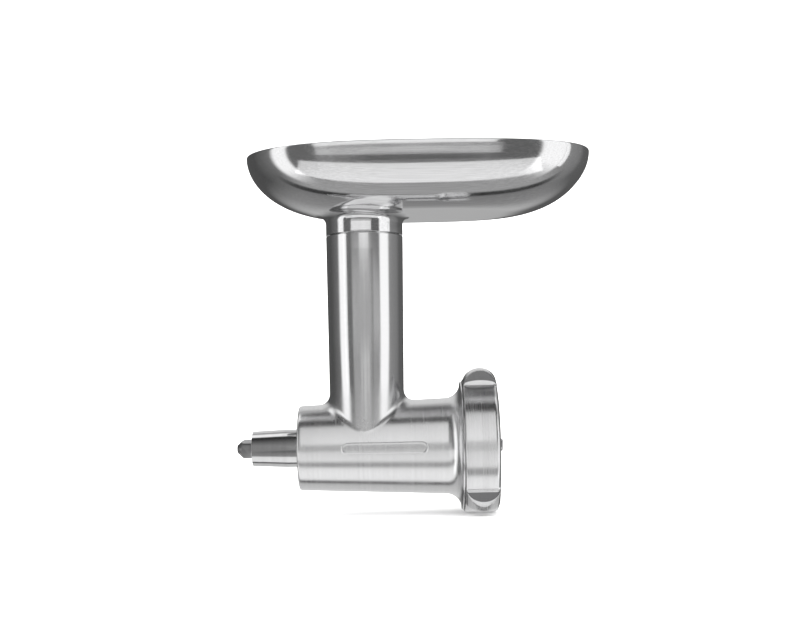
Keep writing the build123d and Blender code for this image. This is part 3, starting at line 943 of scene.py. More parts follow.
class Tree(Nodes):
    """A Geometry Nodes tree with named inputs, ending in Realize Instances and Set Material."""

    def __init__(self, name):
        super().__init__(bpy.data.node_groups.new(name, "GeometryNodeTree"))
        self.values = {}
        self.start = self.node("NodeGroupInput")
        self.end = self.node("NodeGroupOutput")
        self.geometry = self.socket("Geometry", None, "NodeSocketGeometry")
        self.net.interface.new_socket(name="Geometry", in_out="OUTPUT", socket_type="NodeSocketGeometry")

    def socket(self, name, value, kind="NodeSocketFloat"):
        """Adds a named input and returns its socket inside the tree."""
        item = self.net.interface.new_socket(name=name, in_out="INPUT", socket_type=kind)
        if value is not None:
            self.values[item.identifier] = value
        return next(out for out in self.start.outputs if out.identifier == item.identifier)

    def finish(self, geometry, material):
        """Ends the tree: instances made real, and the material set."""
        real = self.node("GeometryNodeRealizeInstances", {"Geometry": geometry}).outputs[0]
        painted = self.node(
            "GeometryNodeSetMaterial",
            {"Geometry": real, "Material": self.socket("Material", material, "NodeSocketMaterial")},
        )
        self.net.links.new(painted.outputs[0], self.end.inputs[0])

    def make(self, name, mesh=None, sharp=math.radians(35)):
        """The plain mesh object that the tree makes from a starting mesh."""
        piece = new_object(name, mesh or bpy.data.meshes.new(name))
        modifier = piece.modifiers.new(self.net.name, "NODES")
        modifier.node_group = self.net
        for identifier, value in self.values.items():
            modifier[identifier] = value
        apply_modifiers(piece, sharp)
        piece.data.name = name
        tidy_normals(piece.data)
        smooth_but_sharp(piece.data, sharp)
        return piece


def tidy_normals(mesh, merge=1e-7):
    """Merges doubled points and turns every face outwards."""
    shape = bmesh.new()
    shape.from_mesh(mesh)
    bmesh.ops.remove_doubles(shape, verts=shape.verts, dist=merge)
    bmesh.ops.recalc_face_normals(shape, faces=shape.faces)
    shape.to_mesh(mesh)
    shape.free()


UPRIGHT_TO_AXIS = Euler((math.radians(90), 0.0, math.radians(90)))
WORM_ROUND = 180
WORM_ROWS = 260
NOSE_OVERLAP = 0.0005
PLATE_CENTRE = 0.0045
NOTCH_GAP = 0.00025
NOTCH_RUN = 0.02
THREAD_FOOT = 0.42
THREAD_CREST = 0.15
THREAD_BURIED = 0.00012


def build_worm(sizes, material):
    """The worm: a round core whose one lobe twists into the flight, with a plain nose."""
    tree = Tree("worm")
    core = tree.socket("Core", sizes.core)
    outer = tree.socket("Outer", sizes.outer)
    pitch = tree.socket("Pitch", sizes.worm_pitch)
    begin = tree.socket("Start", WORM_LOW.x)
    end = tree.socket("End", SHOULDER_FACE)
    bore = tree.socket("Bore", SHAFT_BORE)
    length_along = tree.sum_of("SUBTRACT", end, begin)
    blank = tree.node(
        "GeometryNodeMeshCylinder",
        {"Vertices": WORM_ROUND, "Side Segments": WORM_ROWS, "Radius": 1.0, "Depth": length_along},
        fill_type="NGON",
    ).outputs[0]
    place = tree.node("GeometryNodeInputPosition").outputs[0]
    split = tree.node("ShaderNodeSeparateXYZ", {"Vector": place})
    angle = tree.sum_of("ARCTAN2", split.outputs[1], split.outputs[0])
    rise = tree.node(
        "ShaderNodeMapRange",
        {
            "Value": tree.sum_of("ABSOLUTE", angle),
            "From Min": tree.socket("Flight root", sizes.flight_root),
            "From Max": tree.socket("Flight crest", sizes.flight_crest),
            "To Min": core,
            "To Max": outer,
        },
        interpolation_type="SMOOTHSTEP",
    ).outputs[0]
    along = tree.sum_of("ADD", split.outputs[2], tree.sum_of("MULTIPLY", length_along, 0.5))
    turn = tree.sum_of("MULTIPLY", tree.sum_of("DIVIDE", along, pitch), -TAU)
    turned = tree.sum_of("ADD", angle, turn)
    moved = tree.node(
        "ShaderNodeCombineXYZ",
        {
            "X": tree.sum_of("ADD", begin, along),
            "Y": tree.sum_of("MULTIPLY", rise, tree.sum_of("COSINE", turned)),
            "Z": tree.sum_of("MULTIPLY", rise, tree.sum_of("SINE", turned)),
        },
    ).outputs[0]
    lobed = tree.node("GeometryNodeSetPosition", {"Geometry": blank, "Position": moved}).outputs[0]
    drill = tree.node("GeometryNodeMeshCylinder", {"Vertices": 64, "Radius": bore, "Depth": 1.0}).outputs[0]
    drill = tree.node("GeometryNodeTransform", {"Geometry": drill, "Rotation": UPRIGHT_TO_AXIS}).outputs[0]
    hollow = tree.node(
        "GeometryNodeMeshBoolean", {"Mesh 1": lobed, "Mesh 2": drill}, operation="DIFFERENCE", solver="EXACT"
    ).outputs[0]
    tree.finish(hollow, material)
    piece = tree.make("worm_flight", sharp=math.radians(28))
    nose = turned_piece(
        "worm_nose",
        eased_loop(
            [
                (SHOULDER_FACE - NOSE_OVERLAP, sizes.nose),
                (WORM_HIGH.x, sizes.nose),
                (WORM_HIGH.x, STUD_RADIUS),
                (SHOULDER_FACE - NOSE_OVERLAP, STUD_RADIUS),
            ],
            0.0005,
        ),
    )
    return join_meshes(piece, nose)


def eased_loop(corners, ease):
    """A closed outline (u, v) with every corner rounded by the same small size."""
    points = []
    number = len(corners)
    for index in range(number):
        points.extend(rounded(corners[index], corners[index - 1], corners[(index + 1) % number], ease, 3))
    return points


def join_meshes(piece, *others):
    """Adds other pieces' meshes to a piece as further closed shells, and removes those pieces."""
    shape = bmesh.new()
    shape.from_mesh(piece.data)
    for other in others:
        shape.from_mesh(other.data)
        bpy.data.objects.remove(other)
    shape.to_mesh(piece.data)
    shape.free()
    return piece


def build_plate(sizes, material):
    """The grinding plate: a disc drilled on circles about its centre, with a notch for the key pin."""
    tree = Tree("drilled_plate")
    hole = tree.socket("Hole", sizes.hole)
    first = tree.socket("First circle", sizes.first_circle)
    step = tree.socket("Circle step", sizes.circle_step)
    thickness = PLATE_HIGH.x - PLATE_LOW.x
    drill = tree.node(
        "GeometryNodeMeshCylinder", {"Vertices": 24, "Radius": hole, "Depth": 3 * thickness}
    ).outputs[0]
    drills = []
    for number in range(sizes.circles):
        holes = int(TAU * (sizes.first_circle + number * sizes.circle_step) / sizes.spacing)
        radius = tree.sum_of("ADD", first, tree.sum_of("MULTIPLY", step, float(number)))
        circle = tree.node(
            "GeometryNodeCurvePrimitiveCircle", {"Resolution": holes, "Radius": radius}
        ).outputs[0]
        drills.append(
            tree.node("GeometryNodeInstanceOnPoints", {"Points": circle, "Instance": drill}).outputs[0]
        )
    joined = tree.node("GeometryNodeJoinGeometry", {"Geometry": drills}).outputs[0]
    middle = Vector(((PLATE_HIGH.x + PLATE_LOW.x) / 2, 0.0, 0.0))
    joined = tree.node(
        "GeometryNodeTransform",
        {"Geometry": joined, "Rotation": UPRIGHT_TO_AXIS, "Translation": middle},
    ).outputs[0]
    joined = tree.node("GeometryNodeRealizeInstances", {"Geometry": joined}).outputs[0]
    drilled = tree.node(
        "GeometryNodeMeshBoolean",
        {"Mesh 1": tree.geometry, "Mesh 2": joined},
        operation="DIFFERENCE",
        solver="EXACT",
    ).outputs[0]
    tree.finish(drilled, material)
    outer = PLATE_HIGH.y
    disc = turned_piece(
        "plate_disc",
        eased_loop(
            [
                (PLATE_LOW.x, PLATE_CENTRE),
                (PLATE_HIGH.x, PLATE_CENTRE),
                (PLATE_HIGH.x, outer),
                (PLATE_LOW.x, outer),
            ],
            CORNER_EASE,
        ),
        segments=144,
    )
    low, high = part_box("plate_key_pin")
    cutter = round_bar("notch", low.x - NOTCH_RUN, high.x + NOTCH_RUN, (high.y - low.y) / 2 + NOTCH_GAP)
    cutter.data.transform(Matrix.Translation((0.0, 0.0, (low.z + high.z) / 2)))
    cut_by(disc, cutter)
    mesh = disc.data
    bpy.data.objects.remove(disc)
    return tree.make("grinding_plate_drilled", mesh, math.radians(35))


def round_bar(name, start, end, radius, segments=48):
    """A plain bar on the X axis, for cutting with."""
    skin = Skin()
    angles = [TAU * index / segments for index in range(segments)]
    rings = turned_rings(skin, [(start, radius), (end, radius)], angles)
    skin.strip(rings)
    skin.faces += [tuple(rings[0]), tuple(reversed(rings[1]))]
    skin.marks += [0, 0]
    return skin.build(name)


def cut_by(piece, cutter):
    """Cuts one mesh out of another and removes the cutter."""
    boolean = piece.modifiers.new("cut", "BOOLEAN")
    boolean.operation = "DIFFERENCE"
    boolean.solver = "EXACT"
    boolean.object = cutter
    apply_modifiers(piece, math.radians(35))
    bpy.data.objects.remove(cutter)


def build_thread(name, material, radius, height, pitch, start, end):
    """One helical ridge about the X axis; a negative height makes it stand inwards."""
    tree = Tree(name)
    root = tree.socket("Radius", radius)
    tall = tree.socket("Height", height)
    step = tree.socket("Pitch", pitch)
    first = tree.socket("Start", start)
    run = tree.sum_of("SUBTRACT", tree.socket("End", end), first)
    spiral = tree.node(
        "GeometryNodeCurveSpiral",
        {
            "Resolution": 120,
            "Rotations": tree.sum_of("DIVIDE", run, step),
            "Start Radius": root,
            "End Radius": root,
            "Height": run,
            "Reverse": True,
        },
    ).outputs[0]
    spiral = tree.node("GeometryNodeSetCurveNormal", {"Curve": spiral}, mode="Z_UP").outputs[0]
    section = tree.node("GeometryNodeCurvePrimitiveQuadrilateral", mode="POINTS")
    buried = -math.copysign(THREAD_BURIED, height)
    corners = [(THREAD_FOOT, buried), (THREAD_CREST, tall), (-THREAD_CREST, tall), (-THREAD_FOOT, buried)]
    for number, (across, rise) in enumerate(corners, 1):
        side = tree.sum_of("MULTIPLY", step, across)
        corner = tree.node("ShaderNodeCombineXYZ", {"X": rise, "Y": side}).outputs[0]
        tree.net.links.new(corner, section.inputs[f"Point {number}"])
    factor = tree.node("GeometryNodeSplineParameter").outputs[0]
    from_end = tree.sum_of("SUBTRACT", 0.5, tree.sum_of("ABSOLUTE", tree.sum_of("SUBTRACT", factor, 0.5)))
    taper = tree.sum_of("MINIMUM", 1.0, tree.sum_of("ADD", 0.05, tree.sum_of("MULTIPLY", from_end, 12.0)))
    swept = tree.node(
        "GeometryNodeCurveToMesh",
        {"Curve": spiral, "Profile Curve": section.outputs[0], "Scale": taper, "Fill Caps": True},
    ).outputs[0]
    place = tree.node("ShaderNodeCombineXYZ", {"X": first}).outputs[0]
    laid = tree.node(
        "GeometryNodeTransform", {"Geometry": swept, "Rotation": UPRIGHT_TO_AXIS, "Translation": place}
    ).outputs[0]
    tree.finish(laid, material)
    return tree.make(name, sharp=math.radians(40))


# ---- Materials -----------------------------------------------------------------------------

NOISE_RANGE = (0.3, 0.7)


class Paint(Nodes):
    """A material built up on a Principled shader."""

    def __init__(self, name, base, roughness, metallic=1.0):
        self.material = bpy.data.materials.new(name)
        self.material.use_nodes = True
        super().__init__(self.material.node_tree)
        self.shader = self.net.nodes["Principled BSDF"]
        self.base = tuple(base)
        self.roughness = roughness
        self.shader.inputs["Base Color"].default_value = (*self.base, 1.0)
        self.shader.inputs["Roughness"].default_value = roughness
        self.shader.inputs["Metallic"].default_value = metallic
        self.bump = None

    def place(self):
        """The piece's own coordinates."""
        return self.node("ShaderNodeTexCoord").outputs["Object"]

    def turned_place(self, centre_x=None):
        """Coordinates (along, radius, 0) about the X axis, or about an upright axis at centre_x."""
        split = self.node("ShaderNodeSeparateXYZ", {0: self.place()})
        x, y, z = split.outputs
        if centre_x is None:
            along, side, up = x, y, z
        else:
            along, side, up = z, y, self.sum_of("SUBTRACT", x, centre_x)
        squares = self.sum_of("ADD", self.sum_of("MULTIPLY", side, side), self.sum_of("MULTIPLY", up, up))
        radius = self.sum_of("SQRT", squares)
        return self.node("ShaderNodeCombineXYZ", {0: along, 1: radius}).outputs[0]

    def noise(self, place, scale, stretch=(1.0, 1.0, 1.0), detail=3.0, roughness=0.55):
        """Noise from 0 to 1, stretched along the axes."""
        mapped = self.node("ShaderNodeMapping", {"Vector": place, "Scale": stretch}).outputs[0]
        return self.node(
            "ShaderNodeTexNoise",
            {"Vector": mapped, "Scale": scale, "Detail": detail, "Roughness": roughness},
        ).outputs[0]

    def spread(self, value, low, high, new_low, new_high):
        """A value moved from one range to another, and kept inside it."""
        return self.node(
            "ShaderNodeMapRange",
            {"Value": value, "From Min": low, "From Max": high, "To Min": new_low, "To Max": new_high},
        ).outputs[0]

    def vary_roughness(self, *changes):
        """Adds changes, each a pair of a 0 to 1 value and the most it adds or takes, to the roughness."""
        total = None
        for value, size in changes:
            change = self.spread(value, *NOISE_RANGE, -size, size)
            total = change if total is None else self.sum_of("ADD", total, change)
        self.link_roughness(self.sum_of("ADD", total, self.roughness, clamp=True))

    def link_roughness(self, value):
        """Sets the roughness from a value that varies over the surface."""
        self.net.links.new(value, self.shader.inputs["Roughness"])

    def vary_colour(self, value, darker, lighter):
        """Lets the colour run from darker to lighter, as shares of the base colour."""
        factor = self.spread(value, *NOISE_RANGE, 0.0, 1.0)
        mix = self.node("ShaderNodeMix", {0: factor}, data_type="RGBA")
        mix.inputs[6].default_value = (*(min(part * darker, 1.0) for part in self.base), 1.0)
        mix.inputs[7].default_value = (*(min(part * lighter, 1.0) for part in self.base), 1.0)
        self.net.links.new(mix.outputs[2], self.shader.inputs["Base Color"])
        return mix.outputs[2]

    def relief(self, value, depth):
        """Adds bump of a real depth in metres."""
        bump = self.node("ShaderNodeBump", {"Height": value, "Distance": depth, "Strength": 1.0})
        if self.bump is not None:
            self.net.links.new(self.bump, bump.inputs["Normal"])
        self.bump = bump.outputs[0]
        self.net.links.new(self.bump, self.shader.inputs["Normal"])

    def worn(self, colour_from, amount=0.35):
        """Brightens the outer edges, where handling has polished the metal."""
        edge = self.spread(self.node("ShaderNodeNewGeometry").outputs["Pointiness"], 0.515, 0.60, 0.0, amount)
        mix = self.node("ShaderNodeMix", {0: edge, 6: colour_from}, data_type="RGBA")
        mix.inputs[7].default_value = (0.95, 0.95, 0.95, 1.0)
        self.net.links.new(mix.outputs[2], self.shader.inputs["Base Color"])


def turned_metal(name, base, roughness, line=2600.0, depth=0.000004, grain=0.05, axis_x=None):
    """Metal with the fine rings that a lathe or a brush leaves around it."""
    paint = Paint(name, base, roughness)
    place = paint.turned_place(axis_x)
    lines = paint.noise(place, line, detail=4.0, roughness=0.7)
    wide = paint.noise(place, line / 14, detail=2.0)
    marks = paint.noise(paint.place(), 42.0, detail=4.0)
    paint.vary_roughness((lines, grain), (marks, 0.03))
    colour = paint.vary_colour(wide, 0.93, 1.05)
    paint.worn(colour)
    paint.relief(lines, depth)
    return paint.material


def drawn_metal(name, base, roughness, stretch, line=900.0):
    """Metal with straight grain: stretch is small along the grain."""
    paint = Paint(name, base, roughness)
    lines = paint.noise(paint.place(), line, stretch, detail=4.0, roughness=0.65)
    marks = paint.noise(paint.place(), 36.0, detail=4.0)
    paint.vary_roughness((lines, 0.05), (marks, 0.03))
    colour = paint.vary_colour(marks, 0.94, 1.04)
    paint.worn(colour, 0.25)
    paint.relief(lines, 0.000004)
    return paint.material


def housing_metal(finishes):
    """Satin casting: brushed round the barrel, polished finer round the feed tube."""
    paint = Paint("casting_satin", finishes.casting, finishes.casting_roughness)
    split = paint.node("ShaderNodeSeparateXYZ", {0: paint.place()})
    on_tube = paint.spread(split.outputs[2], 0.033, 0.047, 0.0, 1.0)
    barrel_lines = paint.noise(paint.turned_place(), 1500.0, detail=5.0, roughness=0.7)
    tube_lines = paint.noise(paint.turned_place(TUBE_X), 2400.0, detail=4.0, roughness=0.65)
    tube_lines = paint.spread(tube_lines, 0.0, 1.0, 0.35, 0.65)
    lines = paint.node("ShaderNodeMix", {0: on_tube, 2: barrel_lines, 3: tube_lines}).outputs[0]
    marks = paint.noise(paint.place(), 30.0, detail=5.0)
    pits = paint.noise(paint.place(), 900.0, detail=2.0)
    base = paint.spread(on_tube, 0.0, 1.0, finishes.casting_roughness, 0.6 * finishes.casting_roughness)
    change = paint.sum_of(
        "ADD",
        paint.spread(lines, *NOISE_RANGE, -0.04, 0.04),
        paint.spread(marks, *NOISE_RANGE, -0.03, 0.03),
    )
    paint.link_roughness(paint.sum_of("ADD", base, change, clamp=True))
    colour = paint.vary_colour(lines, 0.93, 1.05)
    paint.worn(colour, 0.2)
    paint.relief(lines, 0.0000025)
    paint.relief(pits, 0.000001)
    return paint.material


def tray_metal(finishes):
    """Mirror polish with a faint lengthwise grain and soft smudges."""
    paint = Paint("tray_polish", finishes.polished, finishes.tray_roughness)
    lines = paint.noise(paint.place(), 1500.0, (0.015, 1.0, 1.0), detail=3.0)
    waves = paint.noise(paint.place(), 26.0, (0.4, 1.0, 1.0), detail=1.5)
    marks = paint.noise(paint.place(), 22.0, detail=4.0)
    paint.vary_roughness((lines, 0.03), (marks, 0.03))
    colour = paint.vary_colour(lines, 0.90, 1.06)
    paint.worn(colour, 0.2)
    paint.relief(waves, 0.00012)
    paint.relief(lines, 0.0000022)
    return paint.material


def rubber(name):
    """Matt black rubber with a fine mould grain."""
    paint = Paint(name, (0.03, 0.03, 0.032), 0.6, metallic=0.0)
    grain = paint.noise(paint.place(), 2500.0, detail=2.0)
    paint.vary_roughness((grain, 0.08))
    paint.vary_colour(grain, 0.8, 1.3)
    paint.relief(grain, 0.00001)
    return paint.material


def nylon(name):
    """Cream nylon with faint turning rings."""
    paint = Paint(name, (0.72, 0.70, 0.62), 0.42, metallic=0.0)
    lines = paint.noise(paint.turned_place(), 1800.0, detail=3.0)
    paint.vary_roughness((lines, 0.08))
    paint.vary_colour(lines, 0.93, 1.04)
    paint.relief(lines, 0.000005)
    return paint.material


# ---- Operators -----------------------------------------------------------------------------

class BuildPiece(bpy.types.Operator):
    """What every operator of this add-on has in common."""

    bl_options = {"REGISTER", "UNDO"}


class GRINDER_OT_housing(BuildPiece):
    """Builds the cast housing with its feed tube, pad and threaded mouth."""

    bl_idname = "grinder.housing"
    bl_label = "Housing"

    def execute(self, context):
        scene = context.scene
        casting = build_housing(scene.grinder_housing)
        join_meshes(casting, build_pad(scene.grinder_housing))
        metal = housing_metal(scene.grinder_finishes)
        finished(casting, metal, "housing", "cast_body", "grinder_housing")
        return {"FINISHED"}


class GRINDER_OT_threads(BuildPiece):
    """Builds the thread on the mouth and the matching thread in the ring nut."""

    bl_idname = "grinder.threads"
    bl_label = "Threads"

    def execute(self, context):
        housing, worm = context.scene.grinder_housing, context.scene.grinder_worm
        finishes, ring = context.scene.grinder_finishes, context.scene.grinder_ring
        outside = turned_metal("thread_metal", finishes.casting, 0.32)
        male = build_thread(
            "mouth_thread", outside, housing.thread_root, worm.thread_height, worm.thread_pitch,
            housing.shoulder_face + 0.0040, HOUSING_HIGH.x - 0.0028,
        )
        finished(male, None, "housing", "cast_body")
        inside = turned_metal("ring_thread_metal", finishes.casting, 0.34)
        female = build_thread(
            "ring_thread", inside, ring.bore + worm.thread_height, -worm.thread_height, worm.thread_pitch,
            RING_LOW.x + 0.0030, RING_HIGH.x - ring.lip - 0.0030,
        )
        finished(female, None, "ring", "ring_metal")
        return {"FINISHED"}


class GRINDER_OT_spigot(BuildPiece):
    """Builds the bright tapered spigot that goes into the mixer."""

    bl_idname = "grinder.spigot"
    bl_label = "Spigot"

    def execute(self, context):
        finishes = context.scene.grinder_finishes
        tip, inner = SPIGOT_LOW.x, SPIGOT_HIGH.x
        root = SPIGOT_HIGH.y
        outline = [
            (tip, SPIGOT_BORE), (tip, SPIGOT_TIP), (SPIGOT_LAND, root), (0.0, root),
            (0.0, SPIGOT_SHANK), (inner, SPIGOT_SHANK),
            (inner, SPIGOT_BORE), (BUSH_STOPS[1], SPIGOT_BORE), (BUSH_STOPS[1], SPIGOT_WAIST),
            (BUSH_STOPS[0], SPIGOT_WAIST), (BUSH_STOPS[0], SPIGOT_BORE),
        ]
        spigot = turned_piece("spigot_turned", eased_loop(outline, 0.00018), 176)
        ball = new_object("dimple", bpy.data.meshes.new("dimple"))
        shape = bmesh.new()
        bmesh.ops.create_uvsphere(shape, u_segments=48, v_segments=24, radius=DIMPLE_RADIUS)
        shape.to_mesh(ball.data)
        shape.free()
        ball.data.transform(Matrix.Translation((DIMPLE_X, root + DIMPLE_RADIUS / 2, 0.0)))
        cut_by(spigot, ball)
        metal = turned_metal("spigot_bright", finishes.bright, 0.15, line=3000.0, depth=0.000003, grain=0.04)
        finished(spigot, metal, "housing", "spigot_steel", "hub_spigot")
        return {"FINISHED"}


class GRINDER_OT_shaft(BuildPiece):
    """Builds the drive shaft with its square end, and the stud that carries the knife."""

    bl_idname = "grinder.shaft"
    bl_label = "Shaft and stud"

    def execute(self, context):
        finishes = context.scene.grinder_finishes
        dark = drawn_metal("shaft_dark", finishes.dark, 0.34, (0.04, 1.0, 1.0))
        shaft = softened_copy("drive_shaft", "worm_shaft", 0.00035)
        finished(shaft, dark, "worm", "shaft_steel", "worm_shaft")
        bright = turned_metal("stud_bright", finishes.bright, 0.22)
        stud = softened_copy("stud_pin", "knife_stud", 0.0002)
        finished(stud, bright, "worm", "shaft_steel", "knife_stud")
        return {"FINISHED"}


class GRINDER_OT_worm(BuildPiece):
    """Builds the feed worm."""

    bl_idname = "grinder.worm"
    bl_label = "Worm"

    def execute(self, context):
        finishes = context.scene.grinder_finishes
        metal = turned_metal("worm_cast", finishes.casting, 0.42, line=1400.0, depth=0.000008)
        worm = build_worm(context.scene.grinder_worm, metal)
        finished(worm, None, "worm", "worm_cast", "worm_screw")
        return {"FINISHED"}


class GRINDER_OT_knife(BuildPiece):
    """Builds the four-armed knife."""

    bl_idname = "grinder.knife"
    bl_label = "Knife"

    def execute(self, context):
        metal = drawn_metal("knife_ground", context.scene.grinder_finishes.blade, 0.26, (1.0, 0.05, 1.0))
        knife = softened_copy("knife_blades", "cross_knife", 0.00012)
        finished(knife, metal, "worm", "blade_steel", "cross_knife")
        return {"FINISHED"}


class GRINDER_OT_plate(BuildPiece):
    """Builds the perforated grinding plate."""

    bl_idname = "grinder.plate"
    bl_label = "Grinding plate"

    def execute(self, context):
        metal = turned_metal("plate_ground", context.scene.grinder_finishes.blade, 0.25, line=2200.0)
        plate = build_plate(context.scene.grinder_worm, metal)
        finished(plate, None, "plate", "blade_steel", "grinding_plate")
        return {"FINISHED"}


class GRINDER_OT_ring(BuildPiece):
    """Builds the ring nut with its three lugs."""

    bl_idname = "grinder.ring"
    bl_label = "Ring nut"

    def execute(self, context):
        finishes = context.scene.grinder_finishes
        ring = build_ring(context.scene.grinder_ring)
        metal = turned_metal("ring_brushed", finishes.casting, 0.22, line=1500.0, depth=0.000006, grain=0.07)
        ring.data.materials.append(metal)
        # The flanks' material is darkened as painted shade for the dark surroundings that they mirror.
        ring.data.materials.append(
            drawn_metal("ring_lug_flank", finishes.flank, 0.20, (1.0, 0.12, 0.12), line=1200.0)
        )
        finished(ring, None, "ring", "ring_metal", "ring_nut")
        return {"FINISHED"}


class GRINDER_OT_tray(BuildPiece):
    """Builds the polished feed tray with its neck."""

    bl_idname = "grinder.tray"
    bl_label = "Tray"

    def execute(self, context):
        tray = build_tray(context.scene.grinder_tray)
        finished(tray, tray_metal(context.scene.grinder_finishes), "tray", "tray_steel", "tray_pan")
        return {"FINISHED"}


class GRINDER_OT_fittings(BuildPiece):
    """Gives the bushes, seal, screw, pins, washer and sleeve their finishes."""

    bl_idname = "grinder.fittings"
    bl_label = "Small fittings"

    def execute(self, context):
        finishes = context.scene.grinder_finishes
        bronze = turned_metal("bush_bronze", finishes.bronze, 0.32)
        pin = drawn_metal("pin_steel", finishes.bright, 0.28, (0.1, 1.0, 1.0))
        sleeve = turned_metal("sleeve_steel", finishes.polished, 0.26, axis_x=TUBE_X)
        coats = {
            "spigot_rear_bush": bronze,
            "spigot_front_bush": bronze,
            "shaft_seal": rubber("seal_rubber"),
            "spigot_lock_screw": pin,
            "index_pin": pin,
            "plate_key_pin": pin,
            "worm_cross_pin": pin,
            "thrust_washer": nylon("washer_nylon"),
            "tray_sleeve": sleeve,
        }
        for node, material in coats.items():
            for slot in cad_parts[node].material_slots:
                slot.material = material
        return {"FINISHED"}


# Pairs of an angle in degrees and the brightness seen there, from 0 to 1: first round from the front,
# then up over the front. LEAN_ACROSS and LEAN_UP say how steep a direction must be for the second to hold.
DISPLAY_GAMMA = 2.2
LEAN_ACROSS = 0.35
LEAN_UP = 0.65
AZIMUTH_LIGHT = (
    (-180, 0.30), (-120, 0.30), (-86, 0.42), (-80, 0.98), (-65, 0.98), (-62, 0.38), (-41, 0.40),
    (-37, 0.50), (16, 0.50), (22, 0.38), (45, 0.38), (48, 0.98), (75, 0.98), (79, 0.52), (112, 0.46),
    (125, 0.36), (180, 0.30),
)
ELEVATION_LIGHT = (
    (-180, 0.60), (-165, 0.66), (-140, 0.52), (-107, 0.46), (-105, 0.22), (-97, 0.22), (-94, 0.60),
    (-68, 0.58), (-24, 0.46), (-22, 0.38), (-11, 0.40), (-8, 0.54), (10, 0.54), (58, 0.28),
    (65, 0.20), (80, 0.20), (84, 0.97), (105, 0.97), (109, 0.60), (122, 0.62), (127, 0.80),
    (157, 0.80), (180, 0.60),
)
CASTINGS = ("housing_casting", "mouth_thread", "ring_nut_brushed", "ring_thread", "grinding_plate_drilled")
STEELS = ("spigot_turned", "drive_shaft", "stud_pin", "index_pin")
TRAY = ("tray_polished", "tray_sleeve")
RING = ("ring_nut_brushed",)
STUDIO_RADIUS = 2.6
FRONT_WIDTH = (-1.36, 1.10)
# Name, lowest and highest angle, reach to the left and right in studio radii, brightness, and pieces lit.
SOFTBOXES = (
    ("barrel_high", 9, 60, (-0.24, 0.24), 0.70, CASTINGS),
    ("barrel_level", -9, 9, (-0.75, 1.0), 0.34, CASTINGS),
    ("ring_level", -9, 9, (-0.5, 0.5), 0.26, RING),
    ("tray_high", 9, 53, (-0.75, 0.40), 0.70, TRAY),
    ("tray_level", -9, 9, (-0.75, 0.45), 0.34, TRAY),
    ("front_low", -37, -9, FRONT_WIDTH, 0.66, CASTINGS),
    ("tray_strip", -63, -24, (-1.22, 1.05), 0.62, TRAY),
    ("table_near", -94, -51, FRONT_WIDTH, 0.61, CASTINGS + STEELS),
    ("table_far", -160, -107, FRONT_WIDTH, 0.36, CASTINGS + STEELS),
)
SIDE_HEIGHT = (-1.3, 1.3)
# Name, first and last angle round from the front, height, brightness, and pieces lit.
SIDE_SOFTBOXES = (
    ("castings_left", -63.5, -54, SIDE_HEIGHT, 1.0, CASTINGS + STEELS),
    ("tray_right", 77, 83, SIDE_HEIGHT, 0.8, TRAY),
)


class GRINDER_OT_stage(BuildPiece):
    """Builds the pale floor, the soft studio light and the camera."""

    bl_idname = "grinder.stage"
    bl_label = "Stage"

    def execute(self, context):
        settings = context.scene.grinder_stage
        build_floor()
        build_studio(settings)
        for name, low, high, width, brightness, pieces in SOFTBOXES:
            build_softbox(name, lying_strip(low, high, width), brightness, pieces)
        for name, left, right, height, brightness, pieces in SIDE_SOFTBOXES:
            build_softbox(name, standing_strip(left, right, height), brightness, pieces)
        build_camera(settings)
        context.scene.view_settings.view_transform = "Standard"
        return {"FINISHED"}


def build_floor():
    """A pale floor that curves up into a backdrop."""
    skin = Skin()
    floor = RING_LOW.z - 0.0004
    near, far, bend, top, side = -3.0, 2.0, 1.0, 4.0, 4.0
    outline = [(near, floor), (far, floor)]
    for t in steps(0.0, math.pi / 2, 16)[1:]:
        outline.append((far + bend * math.sin(t), floor + bend * (1 - math.cos(t))))
    outline.append((far + bend, top))
    left = skin.ring((-side, y, z) for y, z in outline)
    right = skin.ring((side, y, z) for y, z in outline)
    skin.join(left, right, closed=False)
    backdrop = skin.build("studio_floor", recalculate=False)
    paint = Paint("studio_paper", (0.86, 0.86, 0.86), 0.9, metallic=0.0)
    grain = paint.noise(paint.place(), 60.0, detail=2.0)
    paint.vary_colour(grain, 0.995, 1.005)
    backdrop.data.materials.append(paint.material)
    backdrop.visible_glossy = False


